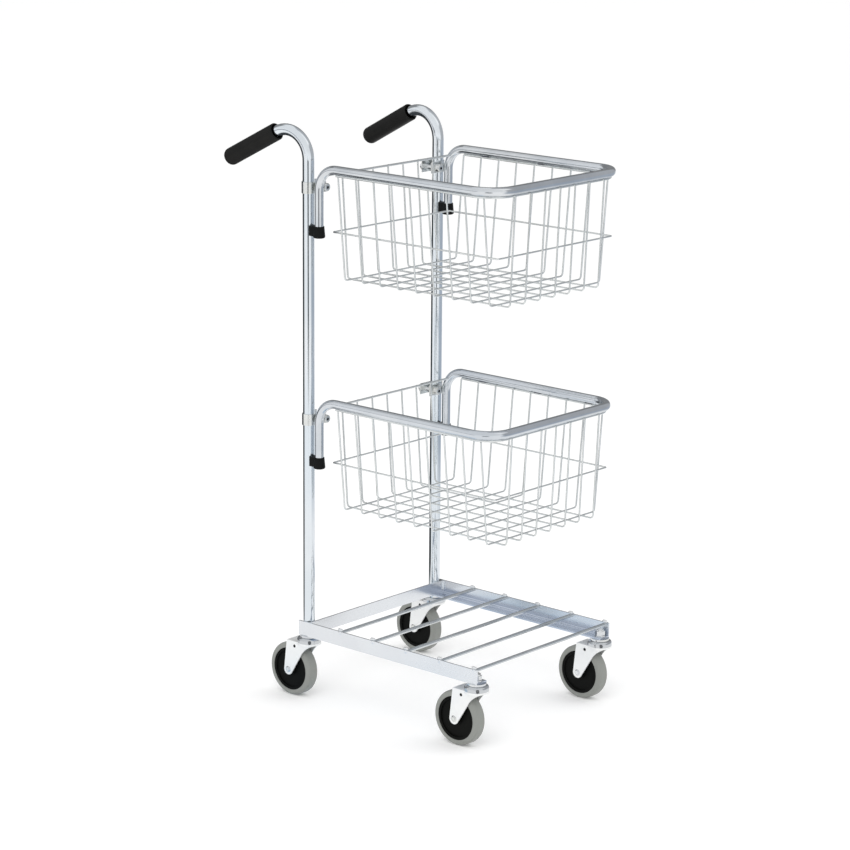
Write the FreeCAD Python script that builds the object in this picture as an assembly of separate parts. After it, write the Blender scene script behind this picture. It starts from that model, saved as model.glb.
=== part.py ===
"""Two-basket push trolley: angle-steel base on four swivel casters, bent tube posts and wire baskets.

Units are millimetres. Z is up, the open front of the base faces -Y, the handles point to +Y, and
left and right are as seen from the front. Every piece is first placed with Y = 0 at the rear ends of
the side rails; the whole trolley is then shifted so that its floor rectangle is centred on the origin.
"""

import FreeCAD, Part

import math
import os

Vector = FreeCAD.Vector

# Fits shared by all pieces
weld_gap = 0.1
running_gap = 0.05
moving_gap = 0.3

# Base frame
base_width = 374.0
base_length = 428.0
rail_height = 27.0
rail_flange = 27.0
rail_wall = 3.0
bar_setback = 24.0
bar_wall = 3.0
rod_count = 5
rod_diameter = 6.5
rod_proud = 1.0
front_rod_inset = 6.0

# Posts and handles
post_diameter = 21.0
post_wall = 1.5
bend_start_height = 997.0
handle_bend_radius = 50.0
handle_droop = 27.4
handle_splay = 3.6
grip_start = 0.0
grip_length = 129.5
grip_diameter = 32.0
grip_end_wall = 5.0
grip_end_round = 10.0
grip_mouth_diameter = 27.0
grip_mouth_depth = 9.0
grip_mouth_round = 2.0

# Basket rims, the same for both baskets
upper_rim_height = 986.0
lower_rim_height = 565.0
rim_diameter = 16.0
rim_wall = 1.5
rim_reach = 403.0
rim_bend_radius = 40.0
rim_corner_radius = 45.0
leg_drop = 121.0
leg_standoff = 5.5

# Basket wires
rim_wire_diameter = 4.0
rim_wire_inset = 1.0
wire_diameter = 3.0
wire_bend_radius = 7.0
basket_depth = 202.6
ring_drop = 114.5
ring_bend_radius = 3.0
ring_butt_gap = 0.2
floor_width = 300.0
floor_front_setback = 6.2
floor_rear_setback = 20.7
cross_wire_margin = 20.45
long_wire_margin = 29.4
long_wire_count = 7
cross_wire_count = 9

# End caps on the rim legs
cap_height = 21.0
cap_floor = 4.0
cap_top_diameter = 18.6
cap_bottom_diameter = 22.4
cap_edge_round = 3.0
saddle_width = 15.0

# Clamps between baskets and posts
strap_wall = 1.5
strap_height = 20.5
strap_drop = 37.0
ear_length = 32.0
bolt_diameter = 8.0
bolt_inset = 21.5
bolt_tail = 3.0
bolt_head_diameter = 15.0
bolt_head_height = 5.0
bolt_socket_across = 5.0
bolt_socket_depth = 3.0
clamp_nut_across = 13.0
clamp_nut_height = 6.5
lug_wall = 3.0
lug_height = 14.0

# Casters
caster_height = 122.0
wheel_diameter = 100.0
wheel_width = 24.5
tyre_round = 6.0
core_diameter = 80.0
core_rim_width = 22.0
core_rim_wall = 5.0
core_web_width = 17.0
hub_diameter = 24.0
hub_width = 27.0
axle_diameter = 8.0
axle_head_diameter = 12.0
axle_head_height = 2.0
fork_wall = 2.5
fork_side_gap = 0.5
fork_tip_radius = 10.0
fork_rear_overhang = 3.5
fork_plate_clear = 4.5
fork_skirt = 3.5
fork_knee_reach = 30.0
fork_knee_drop = 25.0
fork_curve_reach = 40.5
fork_curve_drop = 10.5
fork_hole_diameter = 6.0
fork_hole_back = 22.0
fork_hole_drop = 6.5
caster_trail = 38.0
front_caster_inset = 11.0
cup_diameter = 44.0
cup_round = 5.0
cup_notch_count = 4
cup_notch_width = 6.5
cup_notch_height = 7.0
cup_notch_depth = 2.0
cup_notch_rise = 1.0
race_diameter = 34.0
race_height = 3.5
kingpin_diameter = 16.0
kingpin_head_diameter = 24.0
kingpin_head_height = 2.2
stem_diameter = 10.0
stem_hole_gap = 0.25
stem_tail = 1.5
stem_nut_across = 16.0
stem_nut_height = 8.0
rear_nut_gap = 0.9
nut_collar_diameter = 14.0
nut_collar_height = 2.5
washer_diameter = 20.0
washer_height = 2.0

# Lines and levels that several pieces share
half_width = base_width / 2
rail_top = caster_height + rail_height
flange_top = caster_height + rail_wall
post_radius = post_diameter / 2
rim_radius = rim_diameter / 2
rim_wire_radius = rim_wire_diameter / 2
wire_radius = wire_diameter / 2
post_x = half_width - rail_wall - weld_gap - post_radius
post_y = -bar_setback + weld_gap + post_radius
strap_reach = post_radius + moving_gap + strap_wall
leg_y = post_y - strap_reach - leg_standoff - rim_radius
rim_front_y = leg_y - rim_reach
bolt_x = post_x - bolt_inset
sides = {"left": -1, "right": 1}


def rounded_path(points, radii):
    """Return a wire through the points, each inner corner turned by an arc of its own radius."""
    edges = []
    start = points[0]
    for before, corner, after, radius in zip(points, points[1:], points[2:], radii):
        arrive = (corner - before).normalize()
        leave = (after - corner).normalize()
        turn = arrive.getAngle(leave)
        tangent = radius * math.tan(turn / 2)
        arc_start = corner - arrive * tangent
        arc_end = corner + leave * tangent
        to_centre = (leave - arrive).normalize()
        crest = corner + to_centre * (radius / math.cos(turn / 2) - radius)
        edges.append(Part.makeLine(start, arc_start))
        edges.append(Part.Arc(arc_start, crest, arc_end).toShape())
        start = arc_end
    edges.append(Part.makeLine(start, points[-1]))
    return Part.Wire(edges)


def disc(radius, centre, axis):
    """Return a flat round face."""
    return Part.Face(Part.Wire(Part.makeCircle(radius, centre, axis)))


def swept_tube(points, bend_radii, radius, wall=None):
    """Return a round bar, or a tube where a wall is given, bent along the points."""
    axis = points[1] - points[0]
    profile = disc(radius, points[0], axis)
    if wall is not None:
        profile = profile.cut(disc(radius - wall, points[0], axis))
        profile = profile.Faces[0]
    return rounded_path(points, bend_radii).makePipe(profile)


def turned(outline):
    """Return the solid of revolution about Z of an outline of (radius, height) points."""
    points = [Vector(radius, 0, height) for radius, height in outline]
    face = Part.Face(Part.makePolygon(points + points[:1]))
    return face.revolve(Vector(0, 0, 0), Vector(0, 0, 1), 360)


def circle_edges(shape, radius, height):
    """Return the circular edges about Z that have this radius and lie at this height."""
    found = []
    for edge in shape.Edges:
        if not isinstance(edge.Curve, Part.Circle):
            continue
        same_radius = abs(edge.Curve.Radius - radius) < 1e-6
        same_height = abs(edge.Curve.Center.z - height) < 1e-6
        if same_radius and same_height:
            found.append(edge)
    return found


def along(shape, origin, direction):
    """Return the shape moved so that its Z axis starts at origin and points along direction."""
    turn = FreeCAD.Rotation(Vector(0, 0, 1), direction)
    moved = shape.copy()
    moved.Placement = FreeCAD.Placement(origin, turn)
    return moved


def hexagon_prism(across_flats, height):
    """Return a hexagonal prism standing on the XY plane."""
    corner_radius = across_flats / 2 / math.cos(math.pi / 6)
    corners = []
    for index in range(6):
        angle = index * math.pi / 3
        corners.append(Vector(corner_radius * math.cos(angle), corner_radius * math.sin(angle), 0))
    return Part.Face(Part.makePolygon(corners + corners[:1])).extrude(Vector(0, 0, height))


def mirrored_to(side, shape):
    """Return a shape modelled on the right, on the side that is asked for."""
    if side == "right":
        return shape
    return shape.mirror(Vector(0, 0, 0), Vector(1, 0, 0))


# Base: side rails, rear bar and deck rods
rod_radius = rod_diameter / 2
rod_z = rail_top - rod_radius + rod_proud
rod_pitch = (base_length - bar_setback - front_rod_inset) / rod_count
rod_rows = [-bar_setback - rod_pitch * (index + 1) for index in range(rod_count)]
rear_stem_y = post_y
front_stem_y = -base_length + front_caster_inset


def side_rail():
    """Return the right side rail: an angle with notches for the rods and holes for the stems."""
    inner_x = half_width - rail_wall
    flange_x = half_width - rail_flange
    outline = [
        Vector(half_width, 0, caster_height),
        Vector(half_width, 0, rail_top),
        Vector(inner_x, 0, rail_top),
        Vector(inner_x, 0, flange_top),
        Vector(flange_x, 0, flange_top),
        Vector(flange_x, 0, caster_height),
    ]
    rail = Part.Face(Part.makePolygon(outline + outline[:1])).extrude(Vector(0, -base_length, 0))
    notch_radius = rod_radius + running_gap
    for row in rod_rows:
        seat = Vector(inner_x, row, rod_z)
        round_part = Part.makeCylinder(notch_radius, rail_wall, seat, Vector(1, 0, 0))
        open_part = Part.makeBox(rail_wall, 2 * notch_radius, rod_radius, seat - Vector(0, notch_radius, 0))
        rail = rail.cut(round_part.fuse(open_part))
    hole_radius = stem_diameter / 2 + stem_hole_gap
    for row in (rear_stem_y, front_stem_y):
        hole = Part.makeCylinder(hole_radius, rail_wall, Vector(post_x, row, caster_height))
        rail = rail.cut(hole)
    return rail


def base_nodes():
    """Return the nodes of the base frame."""
    nodes = {}
    for side in sides:
        nodes["base_rail_" + side] = mirrored_to(side, side_rail())
    bar_half = half_width - rail_wall
    nodes["rear_bar"] = Part.makeBox(
        2 * bar_half,
        bar_wall,
        rail_top - flange_top,
        Vector(-bar_half, -bar_setback - bar_wall, flange_top),
    )
    for number, row in enumerate(rod_rows, start=1):
        rod = Part.makeCylinder(rod_radius, base_width, Vector(-half_width, row, rod_z), Vector(1, 0, 0))
        nodes["deck_rod_%d" % number] = rod
    return nodes


# Posts with their drooping handles, and the grips
def post_nodes():
    """Return the two bent posts with their drooping handles, and the grips."""
    nodes = {}
    droop = math.radians(handle_droop)
    splay = math.radians(handle_splay)
    bend_half_angle = (math.pi / 2 + droop) / 2
    tangent = handle_bend_radius * math.tan(bend_half_angle)
    direction = Vector(
        math.cos(droop) * math.sin(splay),
        math.cos(droop) * math.cos(splay),
        -math.sin(droop),
    )
    foot = Vector(post_x, post_y, flange_top)
    vertex = Vector(post_x, post_y, bend_start_height + tangent)
    mouth = vertex + direction * (tangent + grip_start)
    tube_end = mouth + direction * (grip_length - grip_end_wall)
    post = swept_tube([foot, vertex, tube_end], [handle_bend_radius], post_radius, post_wall)

    grip_radius = grip_diameter / 2
    mouth_radius = grip_mouth_diameter / 2
    bore_radius = post_radius + running_gap
    bore_end = grip_length - grip_end_wall + weld_gap
    grip = turned([
        (mouth_radius, 0),
        (grip_radius, 0),
        (grip_radius, grip_length),
        (0, grip_length),
        (0, bore_end),
        (bore_radius, bore_end),
        (bore_radius, grip_mouth_depth),
        (mouth_radius, grip_mouth_depth),
    ])
    grip = grip.makeFillet(grip_end_round, circle_edges(grip, grip_radius, grip_length))
    grip = grip.makeFillet(grip_mouth_round, circle_edges(grip, grip_radius, 0))
    grip = along(grip, mouth, direction)
    for side in sides:
        nodes["post_" + side] = mirrored_to(side, post)
        nodes["grip_" + side] = mirrored_to(side, grip)
    return nodes


# Baskets
rim_wire_contact = rim_radius + rim_wire_radius + weld_gap
rim_wire_drop = math.sqrt(rim_wire_contact ** 2 - rim_wire_inset ** 2)
rim_wire_x = post_x - rim_wire_inset
rim_wire_front_y = rim_front_y + rim_wire_inset
rim_wire_corner = rim_corner_radius - rim_wire_inset
wire_seat = rim_wire_radius + wire_radius + weld_gap
corner_end_drop = rim_wire_radius + 3 * weld_gap
rear_rod_y = leg_y - rim_radius - rim_wire_radius - weld_gap
arm_start_y = leg_y - rim_bend_radius
rear_rod_drop = rim_bend_radius - math.sqrt(rim_bend_radius ** 2 - (rear_rod_y - arm_start_y) ** 2)
floor_half = floor_width / 2
floor_front_y = rim_front_y + floor_front_setback
floor_rear_y = leg_y - floor_rear_setback
cross_floor_drop = basket_depth - wire_diameter - weld_gap


def evenly_spaced(count, first, last):
    """Return the places of count items from the first to the last at one pitch."""
    pitch = (last - first) / (count - 1)
    return [first + index * pitch for index in range(count)]


def wall_at(top, top_drop, floor, floor_drop, drop):
    """Return where a straight basket wall stands at a level between its top and its floor."""
    share = (drop - top_drop) / (floor_drop - top_drop)
    return top + (floor - top) * share


def ring_line(top, top_drop, floor, floor_drop):
    """Return where the ring wire lies inside a sloping wall that leans inwards to the floor."""
    slope = math.atan((top - floor) / (floor_drop - top_drop))
    inward = math.copysign((wire_diameter + weld_gap) / math.cos(slope), floor - top)
    return wall_at(top, top_drop, floor, floor_drop, ring_drop) + inward


def rim_tube(rim_height):
    """Return the tube that carries a basket: leg, arm, front, arm and leg in one bent piece."""
    leg_end = rim_height - leg_drop
    points = [
        Vector(-post_x, leg_y, leg_end),
        Vector(-post_x, leg_y, rim_height),
        Vector(-post_x, rim_front_y, rim_height),
        Vector(post_x, rim_front_y, rim_height),
        Vector(post_x, leg_y, rim_height),
        Vector(post_x, leg_y, leg_end),
    ]
    bend_radii = [rim_bend_radius, rim_corner_radius, rim_corner_radius, rim_bend_radius]
    return swept_tube(points, bend_radii, rim_radius, rim_wall)


def basket_wires(rim_height):
    """Return the welded wires of a basket, keyed by the name of each set."""
    top_z = rim_height - rim_wire_drop
    rod_level = rim_height - rear_rod_drop
    cross_floor_z = rim_height - cross_floor_drop
    long_floor_z = rim_height - basket_depth
    rim_wire = swept_tube(
        [
            Vector(-rim_wire_x, arm_start_y, top_z),
            Vector(-rim_wire_x, rim_wire_front_y, top_z),
            Vector(rim_wire_x, rim_wire_front_y, top_z),
            Vector(rim_wire_x, arm_start_y, top_z),
        ],
        [rim_wire_corner] * 2,
        rim_wire_radius,
    )
    rod_half = post_x - rim_radius - weld_gap
    rear_rod = Part.makeCylinder(
        rim_wire_radius, 2 * rod_half, Vector(-rod_half, rear_rod_y, rod_level), Vector(1, 0, 0)
    )
    wall_top_x = rim_wire_x - wire_seat
    wall_top_front_y = rim_wire_front_y - wire_seat
    wall_top_rear_y = rear_rod_y + wire_seat

    cross_wires = []
    arm_end_y = rim_wire_front_y + rim_wire_corner
    front_row = floor_front_y + cross_wire_margin
    rear_row = floor_rear_y - cross_wire_margin
    for row in evenly_spaced(cross_wire_count, front_row, rear_row):
        under_corner = row < arm_end_y
        end_drop = rim_wire_drop + corner_end_drop if under_corner else rim_wire_drop
        reach = wall_at(wall_top_x, rim_wire_drop, floor_half, cross_floor_drop, end_drop)
        end_z = rim_height - end_drop
        cross_wires.append(swept_tube(
            [
                Vector(-reach, row, end_z),
                Vector(-floor_half, row, cross_floor_z),
                Vector(floor_half, row, cross_floor_z),
                Vector(reach, row, end_z),
            ],
            [wire_bend_radius] * 2,
            wire_radius,
        ))

    long_wires = []
    outer_column = floor_half - long_wire_margin
    for column in evenly_spaced(long_wire_count, -outer_column, outer_column):
        long_wires.append(swept_tube(
            [
                Vector(column, wall_top_rear_y, rod_level),
                Vector(column, floor_rear_y, long_floor_z),
                Vector(column, floor_front_y, long_floor_z),
                Vector(column, wall_top_front_y, top_z),
            ],
            [wire_bend_radius] * 2,
            wire_radius,
        ))

    ring_z = rim_height - ring_drop
    ring_x = ring_line(wall_top_x, rim_wire_drop, floor_half, cross_floor_drop)
    ring_front_y = ring_line(wall_top_front_y, rim_wire_drop, floor_front_y, basket_depth)
    ring_rear_y = ring_line(wall_top_rear_y, rear_rod_drop, floor_rear_y, basket_depth)
    mid_ring = swept_tube(
        [
            Vector(-ring_butt_gap / 2, ring_rear_y, ring_z),
            Vector(-ring_x, ring_rear_y, ring_z),
            Vector(-ring_x, ring_front_y, ring_z),
            Vector(ring_x, ring_front_y, ring_z),
            Vector(ring_x, ring_rear_y, ring_z),
            Vector(ring_butt_gap / 2, ring_rear_y, ring_z),
        ],
        [ring_bend_radius] * 4,
        wire_radius,
    )
    return {
        "rim_wire": rim_wire,
        "rear_rod": rear_rod,
        "cross_wires": Part.makeCompound(cross_wires),
        "long_wires": Part.makeCompound(long_wires),
        "mid_ring": mid_ring,
    }


def end_cap(rim_height):
    """Return the right end cap: a tapered ferrule on the leg with a saddle that bears on the post."""
    bottom_z = rim_height - leg_drop - cap_floor
    top_radius = cap_top_diameter / 2
    bottom_radius = cap_bottom_diameter / 2
    ferrule = Part.makeCone(bottom_radius, top_radius, cap_height)
    ferrule = ferrule.makeFillet(cap_edge_round, circle_edges(ferrule, bottom_radius, 0))
    ferrule.translate(Vector(post_x, leg_y, bottom_z))
    saddle_depth = post_y - leg_y
    saddle = Part.makeBox(
        saddle_width,
        saddle_depth,
        cap_height - cap_edge_round,
        Vector(post_x - saddle_width / 2, leg_y, bottom_z + cap_edge_round),
    )
    cap = ferrule.fuse(saddle)
    socket = Part.makeCylinder(
        rim_radius + running_gap, leg_drop, Vector(post_x, leg_y, bottom_z + cap_floor)
    )
    post_room = Part.makeCylinder(
        post_radius + moving_gap, cap_height, Vector(post_x, post_y, bottom_z)
    )
    return cap.cut(socket).cut(post_room)


# Clamps: strap, lug, bolt and nuts
strap_front_y = post_y - strap_reach
strap_rear_y = post_y + strap_reach
lug_rear_y = strap_front_y - clamp_nut_height
lug_front_y = lug_rear_y - lug_wall
lug_offset = max(lug_front_y - leg_y, leg_y - lug_rear_y, 0.0)
lug_outer_x = post_x - math.sqrt(max(rim_radius ** 2 - lug_offset ** 2, 0.0)) - weld_gap
bolt_hole_radius = bolt_diameter / 2 + running_gap


def strap_outline(reach, level):
    """Return the flat plan of the space a strap encloses out to a reach from the post's axis."""
    ear_x = post_x - ear_length
    front_ear = Vector(ear_x, post_y - reach, level)
    front_bend = Vector(post_x, post_y - reach, level)
    crown = Vector(post_x + reach, post_y, level)
    rear_bend = Vector(post_x, post_y + reach, level)
    rear_ear = Vector(ear_x, post_y + reach, level)
    outline = Part.Wire([
        Part.makeLine(front_ear, front_bend),
        Part.Arc(front_bend, crown, rear_bend).toShape(),
        Part.makeLine(rear_bend, rear_ear),
        Part.makeLine(rear_ear, front_ear),
    ])
    return Part.Face(outline)


def clamp_strap(rim_height):
    """Return the right clamp strap: half round the outside of the post, with two ears inwards."""
    bottom_z = rim_height - strap_drop - strap_height / 2
    outer = strap_outline(strap_reach, bottom_z)
    inner = strap_outline(strap_reach - strap_wall, bottom_z)
    strap = outer.cut(inner).extrude(Vector(0, 0, strap_height))
    hole = Part.makeCylinder(
        bolt_hole_radius,
        strap_rear_y - strap_front_y,
        Vector(bolt_x, strap_front_y, rim_height - strap_drop),
        Vector(0, 1, 0),
    )
    return strap.cut(hole)


def clamp_lug(rim_height):
    """Return the right lug: a plate on the inner side of the leg with a round eye for the clamp bolt."""
    eye_centre = Vector(bolt_x, lug_front_y, rim_height - strap_drop)
    plate = Part.makeBox(
        lug_outer_x - bolt_x,
        lug_wall,
        lug_height,
        eye_centre - Vector(0, 0, lug_height / 2),
    )
    eye = Part.makeCylinder(lug_height / 2, lug_wall, eye_centre, Vector(0, 1, 0))
    hole = Part.makeCylinder(bolt_hole_radius, lug_wall, eye_centre, Vector(0, 1, 0))
    return plate.fuse(eye).removeSplitter().cut(hole)


def clamp_bolt(rim_height):
    """Return the right clamp bolt with its round socket head at the front."""
    shank_length = strap_rear_y + clamp_nut_height + bolt_tail - lug_front_y
    head = Part.makeCylinder(bolt_head_diameter / 2, bolt_head_height)
    head = head.makeFillet(
        bolt_head_height / 2, circle_edges(head, bolt_head_diameter / 2, 0)
    )
    head = head.cut(hexagon_prism(bolt_socket_across, bolt_socket_depth))
    shank = Part.makeCylinder(bolt_diameter / 2, shank_length, Vector(0, 0, bolt_head_height))
    bolt = head.fuse(shank)
    start = Vector(bolt_x, lug_front_y - bolt_head_height, rim_height - strap_drop)
    return along(bolt, start, Vector(0, 1, 0))


def clamp_nuts(rim_height):
    """Return the two nuts on the right clamp bolt: one between lug and strap, one behind the strap."""
    nuts = []
    for start_y in (lug_rear_y, strap_rear_y):
        nut = hexagon_prism(clamp_nut_across, clamp_nut_height)
        nut = nut.cut(Part.makeCylinder(bolt_hole_radius, clamp_nut_height))
        nuts.append(along(nut, Vector(bolt_x, start_y, rim_height - strap_drop), Vector(0, 1, 0)))
    return nuts


def basket_nodes(level, rim_height):
    """Return all nodes of the basket at one level."""
    nodes = {level + "_rim_tube": rim_tube(rim_height)}
    for name, shape in basket_wires(rim_height).items():
        nodes[level + "_" + name] = shape
    lugs = []
    bolts = []
    nuts = []
    for side in sides:
        nodes[level + "_end_cap_" + side] = mirrored_to(side, end_cap(rim_height))
        nodes[level + "_strap_" + side] = mirrored_to(side, clamp_strap(rim_height))
        lugs.append(mirrored_to(side, clamp_lug(rim_height)))
        bolts.append(mirrored_to(side, clamp_bolt(rim_height)))
        for nut in clamp_nuts(rim_height):
            nuts.append(mirrored_to(side, nut))
    nodes[level + "_lugs"] = Part.makeCompound(lugs)
    nodes[level + "_clamp_bolts"] = Part.makeCompound(bolts)
    nodes[level + "_clamp_nuts"] = Part.makeCompound(nuts)
    return nodes


# Casters, modelled with the stem on the Z axis and the wheel trailing to +Y
axle_height = wheel_diameter / 2
plate_bottom = wheel_diameter + fork_plate_clear
plate_top = plate_bottom + fork_wall
fork_inner = hub_width / 2 + fork_side_gap
fork_outer = fork_inner + fork_wall
race_bottom = caster_height - race_height
cup_top = race_bottom - moving_gap
rear_nut_across = 2 * (post_radius - post_wall - rear_nut_gap) * math.cos(math.pi / 6)


def tangent_point(outside, centre, radius, turn):
    """Return where a line from an outside (y, z) point touches a circle; turn is +1 or -1 for the side."""
    away_y = outside[0] - centre[0]
    away_z = outside[1] - centre[1]
    distance = math.hypot(away_y, away_z)
    angle = math.atan2(away_z, away_y) + turn * math.acos(radius / distance)
    return centre[0] + radius * math.cos(angle), centre[1] + radius * math.sin(angle)


def fork_side_outline():
    """Return the side view of the fork as a face: two tapered legs under a round skirt."""
    skirt_front = -fork_outer
    axle = (caster_trail, axle_height)
    rear_top = (caster_trail + fork_rear_overhang, plate_top)
    knee = (caster_trail - fork_knee_reach, plate_bottom - fork_knee_drop)
    curve = (caster_trail - fork_curve_reach, plate_bottom - fork_curve_drop)
    front_low = (skirt_front, plate_top - fork_skirt)
    front_top = (skirt_front, plate_top)
    rear_touch = tangent_point(rear_top, axle, fork_tip_radius, -1)
    front_touch = tangent_point(knee, axle, fork_tip_radius, 1)
    tip = (axle[0], axle[1] - fork_tip_radius)

    def spot(point):
        return Vector(0, point[0], point[1])

    outline = Part.Wire([
        Part.makeLine(spot(front_top), spot(rear_top)),
        Part.makeLine(spot(rear_top), spot(rear_touch)),
        Part.Arc(spot(rear_touch), spot(tip), spot(front_touch)).toShape(),
        Part.makeLine(spot(front_touch), spot(knee)),
        Part.Arc(spot(knee), spot(curve), spot(front_low)).toShape(),
        Part.makeLine(spot(front_low), spot(front_top)),
    ])
    return Part.Face(outline)


def plan_shape(reach, rear_y, bottom, top):
    """Return an upright block with straight sides, a half-round front about the stem and a flat rear."""
    outline = Part.Wire([
        Part.makeLine(Vector(reach, rear_y, bottom), Vector(reach, 0, bottom)),
        Part.Arc(Vector(reach, 0, bottom), Vector(0, -reach, bottom), Vector(-reach, 0, bottom)).toShape(),
        Part.makeLine(Vector(-reach, 0, bottom), Vector(-reach, rear_y, bottom)),
        Part.makeLine(Vector(-reach, rear_y, bottom), Vector(reach, rear_y, bottom)),
    ])
    return Part.Face(outline).extrude(Vector(0, 0, top - bottom))


def fork():
    """Return a pressed caster fork: legs, round skirt, top plate and bearing cup in one piece."""
    leg_bottom = axle_height - fork_tip_radius
    leg_rear = caster_trail + fork_tip_radius
    shell = plan_shape(fork_outer, leg_rear, leg_bottom, plate_top)
    shell = shell.cut(plan_shape(fork_inner, leg_rear, leg_bottom, plate_bottom))
    side_view = fork_side_outline().extrude(Vector(2 * fork_outer, 0, 0))
    side_view.translate(Vector(-fork_outer, 0, 0))
    body = shell.common(side_view)
    cup = Part.makeCylinder(cup_diameter / 2, cup_top - plate_bottom, Vector(0, 0, plate_bottom))
    cup = cup.makeFillet(cup_round, circle_edges(cup, cup_diameter / 2, cup_top))
    body = body.fuse(cup).removeSplitter()
    king_bore = Part.makeCylinder(
        kingpin_diameter / 2 + running_gap, cup_top - plate_bottom, Vector(0, 0, plate_bottom)
    )
    axle_bore = Part.makeCylinder(
        axle_diameter / 2 + running_gap,
        2 * fork_outer,
        Vector(-fork_outer, caster_trail, axle_height),
        Vector(1, 0, 0),
    )
    side_holes = Part.makeCylinder(
        fork_hole_diameter / 2,
        2 * fork_outer,
        Vector(-fork_outer, fork_hole_back, plate_bottom - fork_hole_drop),
        Vector(1, 0, 0),
    )
    body = body.cut(king_bore).cut(axle_bore).cut(side_holes)
    notch = Part.makeBox(
        cup_diameter,
        cup_notch_width,
        cup_notch_height,
        Vector(cup_diameter / 2 - cup_notch_depth, -cup_notch_width / 2, plate_top + cup_notch_rise),
    )
    notch_step = 360 / cup_notch_count
    for index in range(cup_notch_count):
        turned_notch = notch.copy()
        turned_notch.rotate(Vector(0, 0, 0), Vector(0, 0, 1), notch_step * (index + 0.5))
        body = body.cut(turned_notch)
    return body


def caster_head(stem_top):
    """Return the fixed half of a caster: upper race, kingpin with its lower head, and threaded stem."""
    head_top = plate_bottom - moving_gap
    head_bottom = head_top - kingpin_head_height
    return turned([
        (0, head_bottom),
        (kingpin_head_diameter / 2, head_bottom),
        (kingpin_head_diameter / 2, head_top),
        (kingpin_diameter / 2, head_top),
        (kingpin_diameter / 2, race_bottom),
        (race_diameter / 2, race_bottom),
        (race_diameter / 2, caster_height),
        (stem_diameter / 2, caster_height),
        (stem_diameter / 2, stem_top),
        (0, stem_top),
    ])


def stem_nut(bottom, across):
    """Return a stem nut with its round locking collar."""
    nut = hexagon_prism(across, stem_nut_height)
    collar_seat = Vector(0, 0, stem_nut_height)
    nut = nut.fuse(Part.makeCylinder(nut_collar_diameter / 2, nut_collar_height, collar_seat))
    bore = Part.makeCylinder(stem_diameter / 2 + running_gap, stem_nut_height + nut_collar_height)
    nut = nut.cut(bore)
    nut.translate(Vector(0, 0, bottom))
    return nut


def on_axle(shape):
    """Return a shape turned about Z so that its axis lies along the axle."""
    return along(shape, Vector(0, caster_trail, axle_height), Vector(1, 0, 0))


def wheel_core():
    """Return the wheel centre: hub, thinner web and rim."""
    bore = axle_diameter / 2 + running_gap
    hub = hub_diameter / 2
    rim = core_diameter / 2
    rim_inner = rim - core_rim_wall
    upper = [
        (bore, hub_width / 2),
        (hub, hub_width / 2),
        (hub, core_web_width / 2),
        (rim_inner, core_web_width / 2),
        (rim_inner, core_rim_width / 2),
        (rim, core_rim_width / 2),
    ]
    lower = [(radius, -height) for radius, height in reversed(upper)]
    return on_axle(turned(upper + lower))


def tyre():
    """Return the tyre: a ring with rounded shoulders."""
    outer = wheel_diameter / 2
    half = wheel_width / 2
    inner = core_diameter / 2 + running_gap
    ring = turned([(inner, -half), (outer, -half), (outer, half), (inner, half)])
    shoulders = circle_edges(ring, outer, half) + circle_edges(ring, outer, -half)
    return on_axle(ring.makeFillet(tyre_round, shoulders))


def axle():
    """Return the riveted axle with a low round head outside each leg."""
    half = fork_outer
    head = axle_head_diameter / 2
    pin = axle_diameter / 2
    end = half + axle_head_height
    return on_axle(turned([
        (0, -end),
        (pin, -end),
        (head, -half),
        (pin, -half),
        (pin, half),
        (head, half),
        (pin, end),
        (0, end),
    ]))


def caster_nodes():
    """Return the four casters with their nuts and washers."""
    nodes = {}
    fasteners = []
    ends = {
        "front": (front_stem_y, washer_height, stem_nut_across),
        "rear": (rear_stem_y, 0.0, rear_nut_across),
    }
    for end, (stem_y, packing, nut_across) in ends.items():
        nut_bottom = flange_top + packing
        stem_top = nut_bottom + stem_nut_height + nut_collar_height + stem_tail
        for side, sign in sides.items():
            place = Vector(sign * post_x, stem_y, 0)
            pieces = {
                "head": caster_head(stem_top),
                "fork": fork(),
                "axle": axle(),
                "wheel": wheel_core(),
                "tyre": tyre(),
            }
            for name, shape in pieces.items():
                shape.translate(place)
                nodes["caster_%s_%s_%s" % (end, side, name)] = shape
            nut = stem_nut(nut_bottom, nut_across)
            nut.translate(place)
            fasteners.append(nut)
            if packing > 0:
                washer = Part.makeCylinder(washer_diameter / 2, packing)
                washer = washer.cut(Part.makeCylinder(stem_diameter / 2 + running_gap, packing))
                washer.translate(place + Vector(0, 0, flange_top))
                fasteners.append(washer)
    nodes["caster_nuts"] = Part.makeCompound(fasteners)
    return nodes


# All nodes, centred on the floor and written out
def build():
    """Build every node, centre the trolley on the origin and write one STEP file per node."""
    nodes = {}
    nodes.update(base_nodes())
    nodes.update(post_nodes())
    nodes.update(basket_nodes("upper", upper_rim_height))
    nodes.update(basket_nodes("lower", lower_rim_height))
    nodes.update(caster_nodes())
    box = Part.makeCompound(list(nodes.values())).optimalBoundingBox(False, False)
    shift = Vector(-box.Center.x, -box.Center.y, -box.ZMin)
    os.makedirs("parts", exist_ok=True)
    for name, shape in nodes.items():
        shape.translate(shift)
        shape.exportStep("parts/" + name + ".step")
    print("nodes", len(nodes), "shift", shift, "box", box.XLength, box.YLength, box.ZLength)


build()
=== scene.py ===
"""Visual dress of the two-basket push trolley: plated steel, rubber and plastic finishes, and its welds.

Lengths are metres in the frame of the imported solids: Z is up and the open front of the base faces -Y.
"""

import logging
import math
from dataclasses import dataclass, replace
from enum import Enum
from typing import Callable, Iterable, Mapping

import bmesh
import bpy
from mathutils import Matrix, Vector


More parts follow.
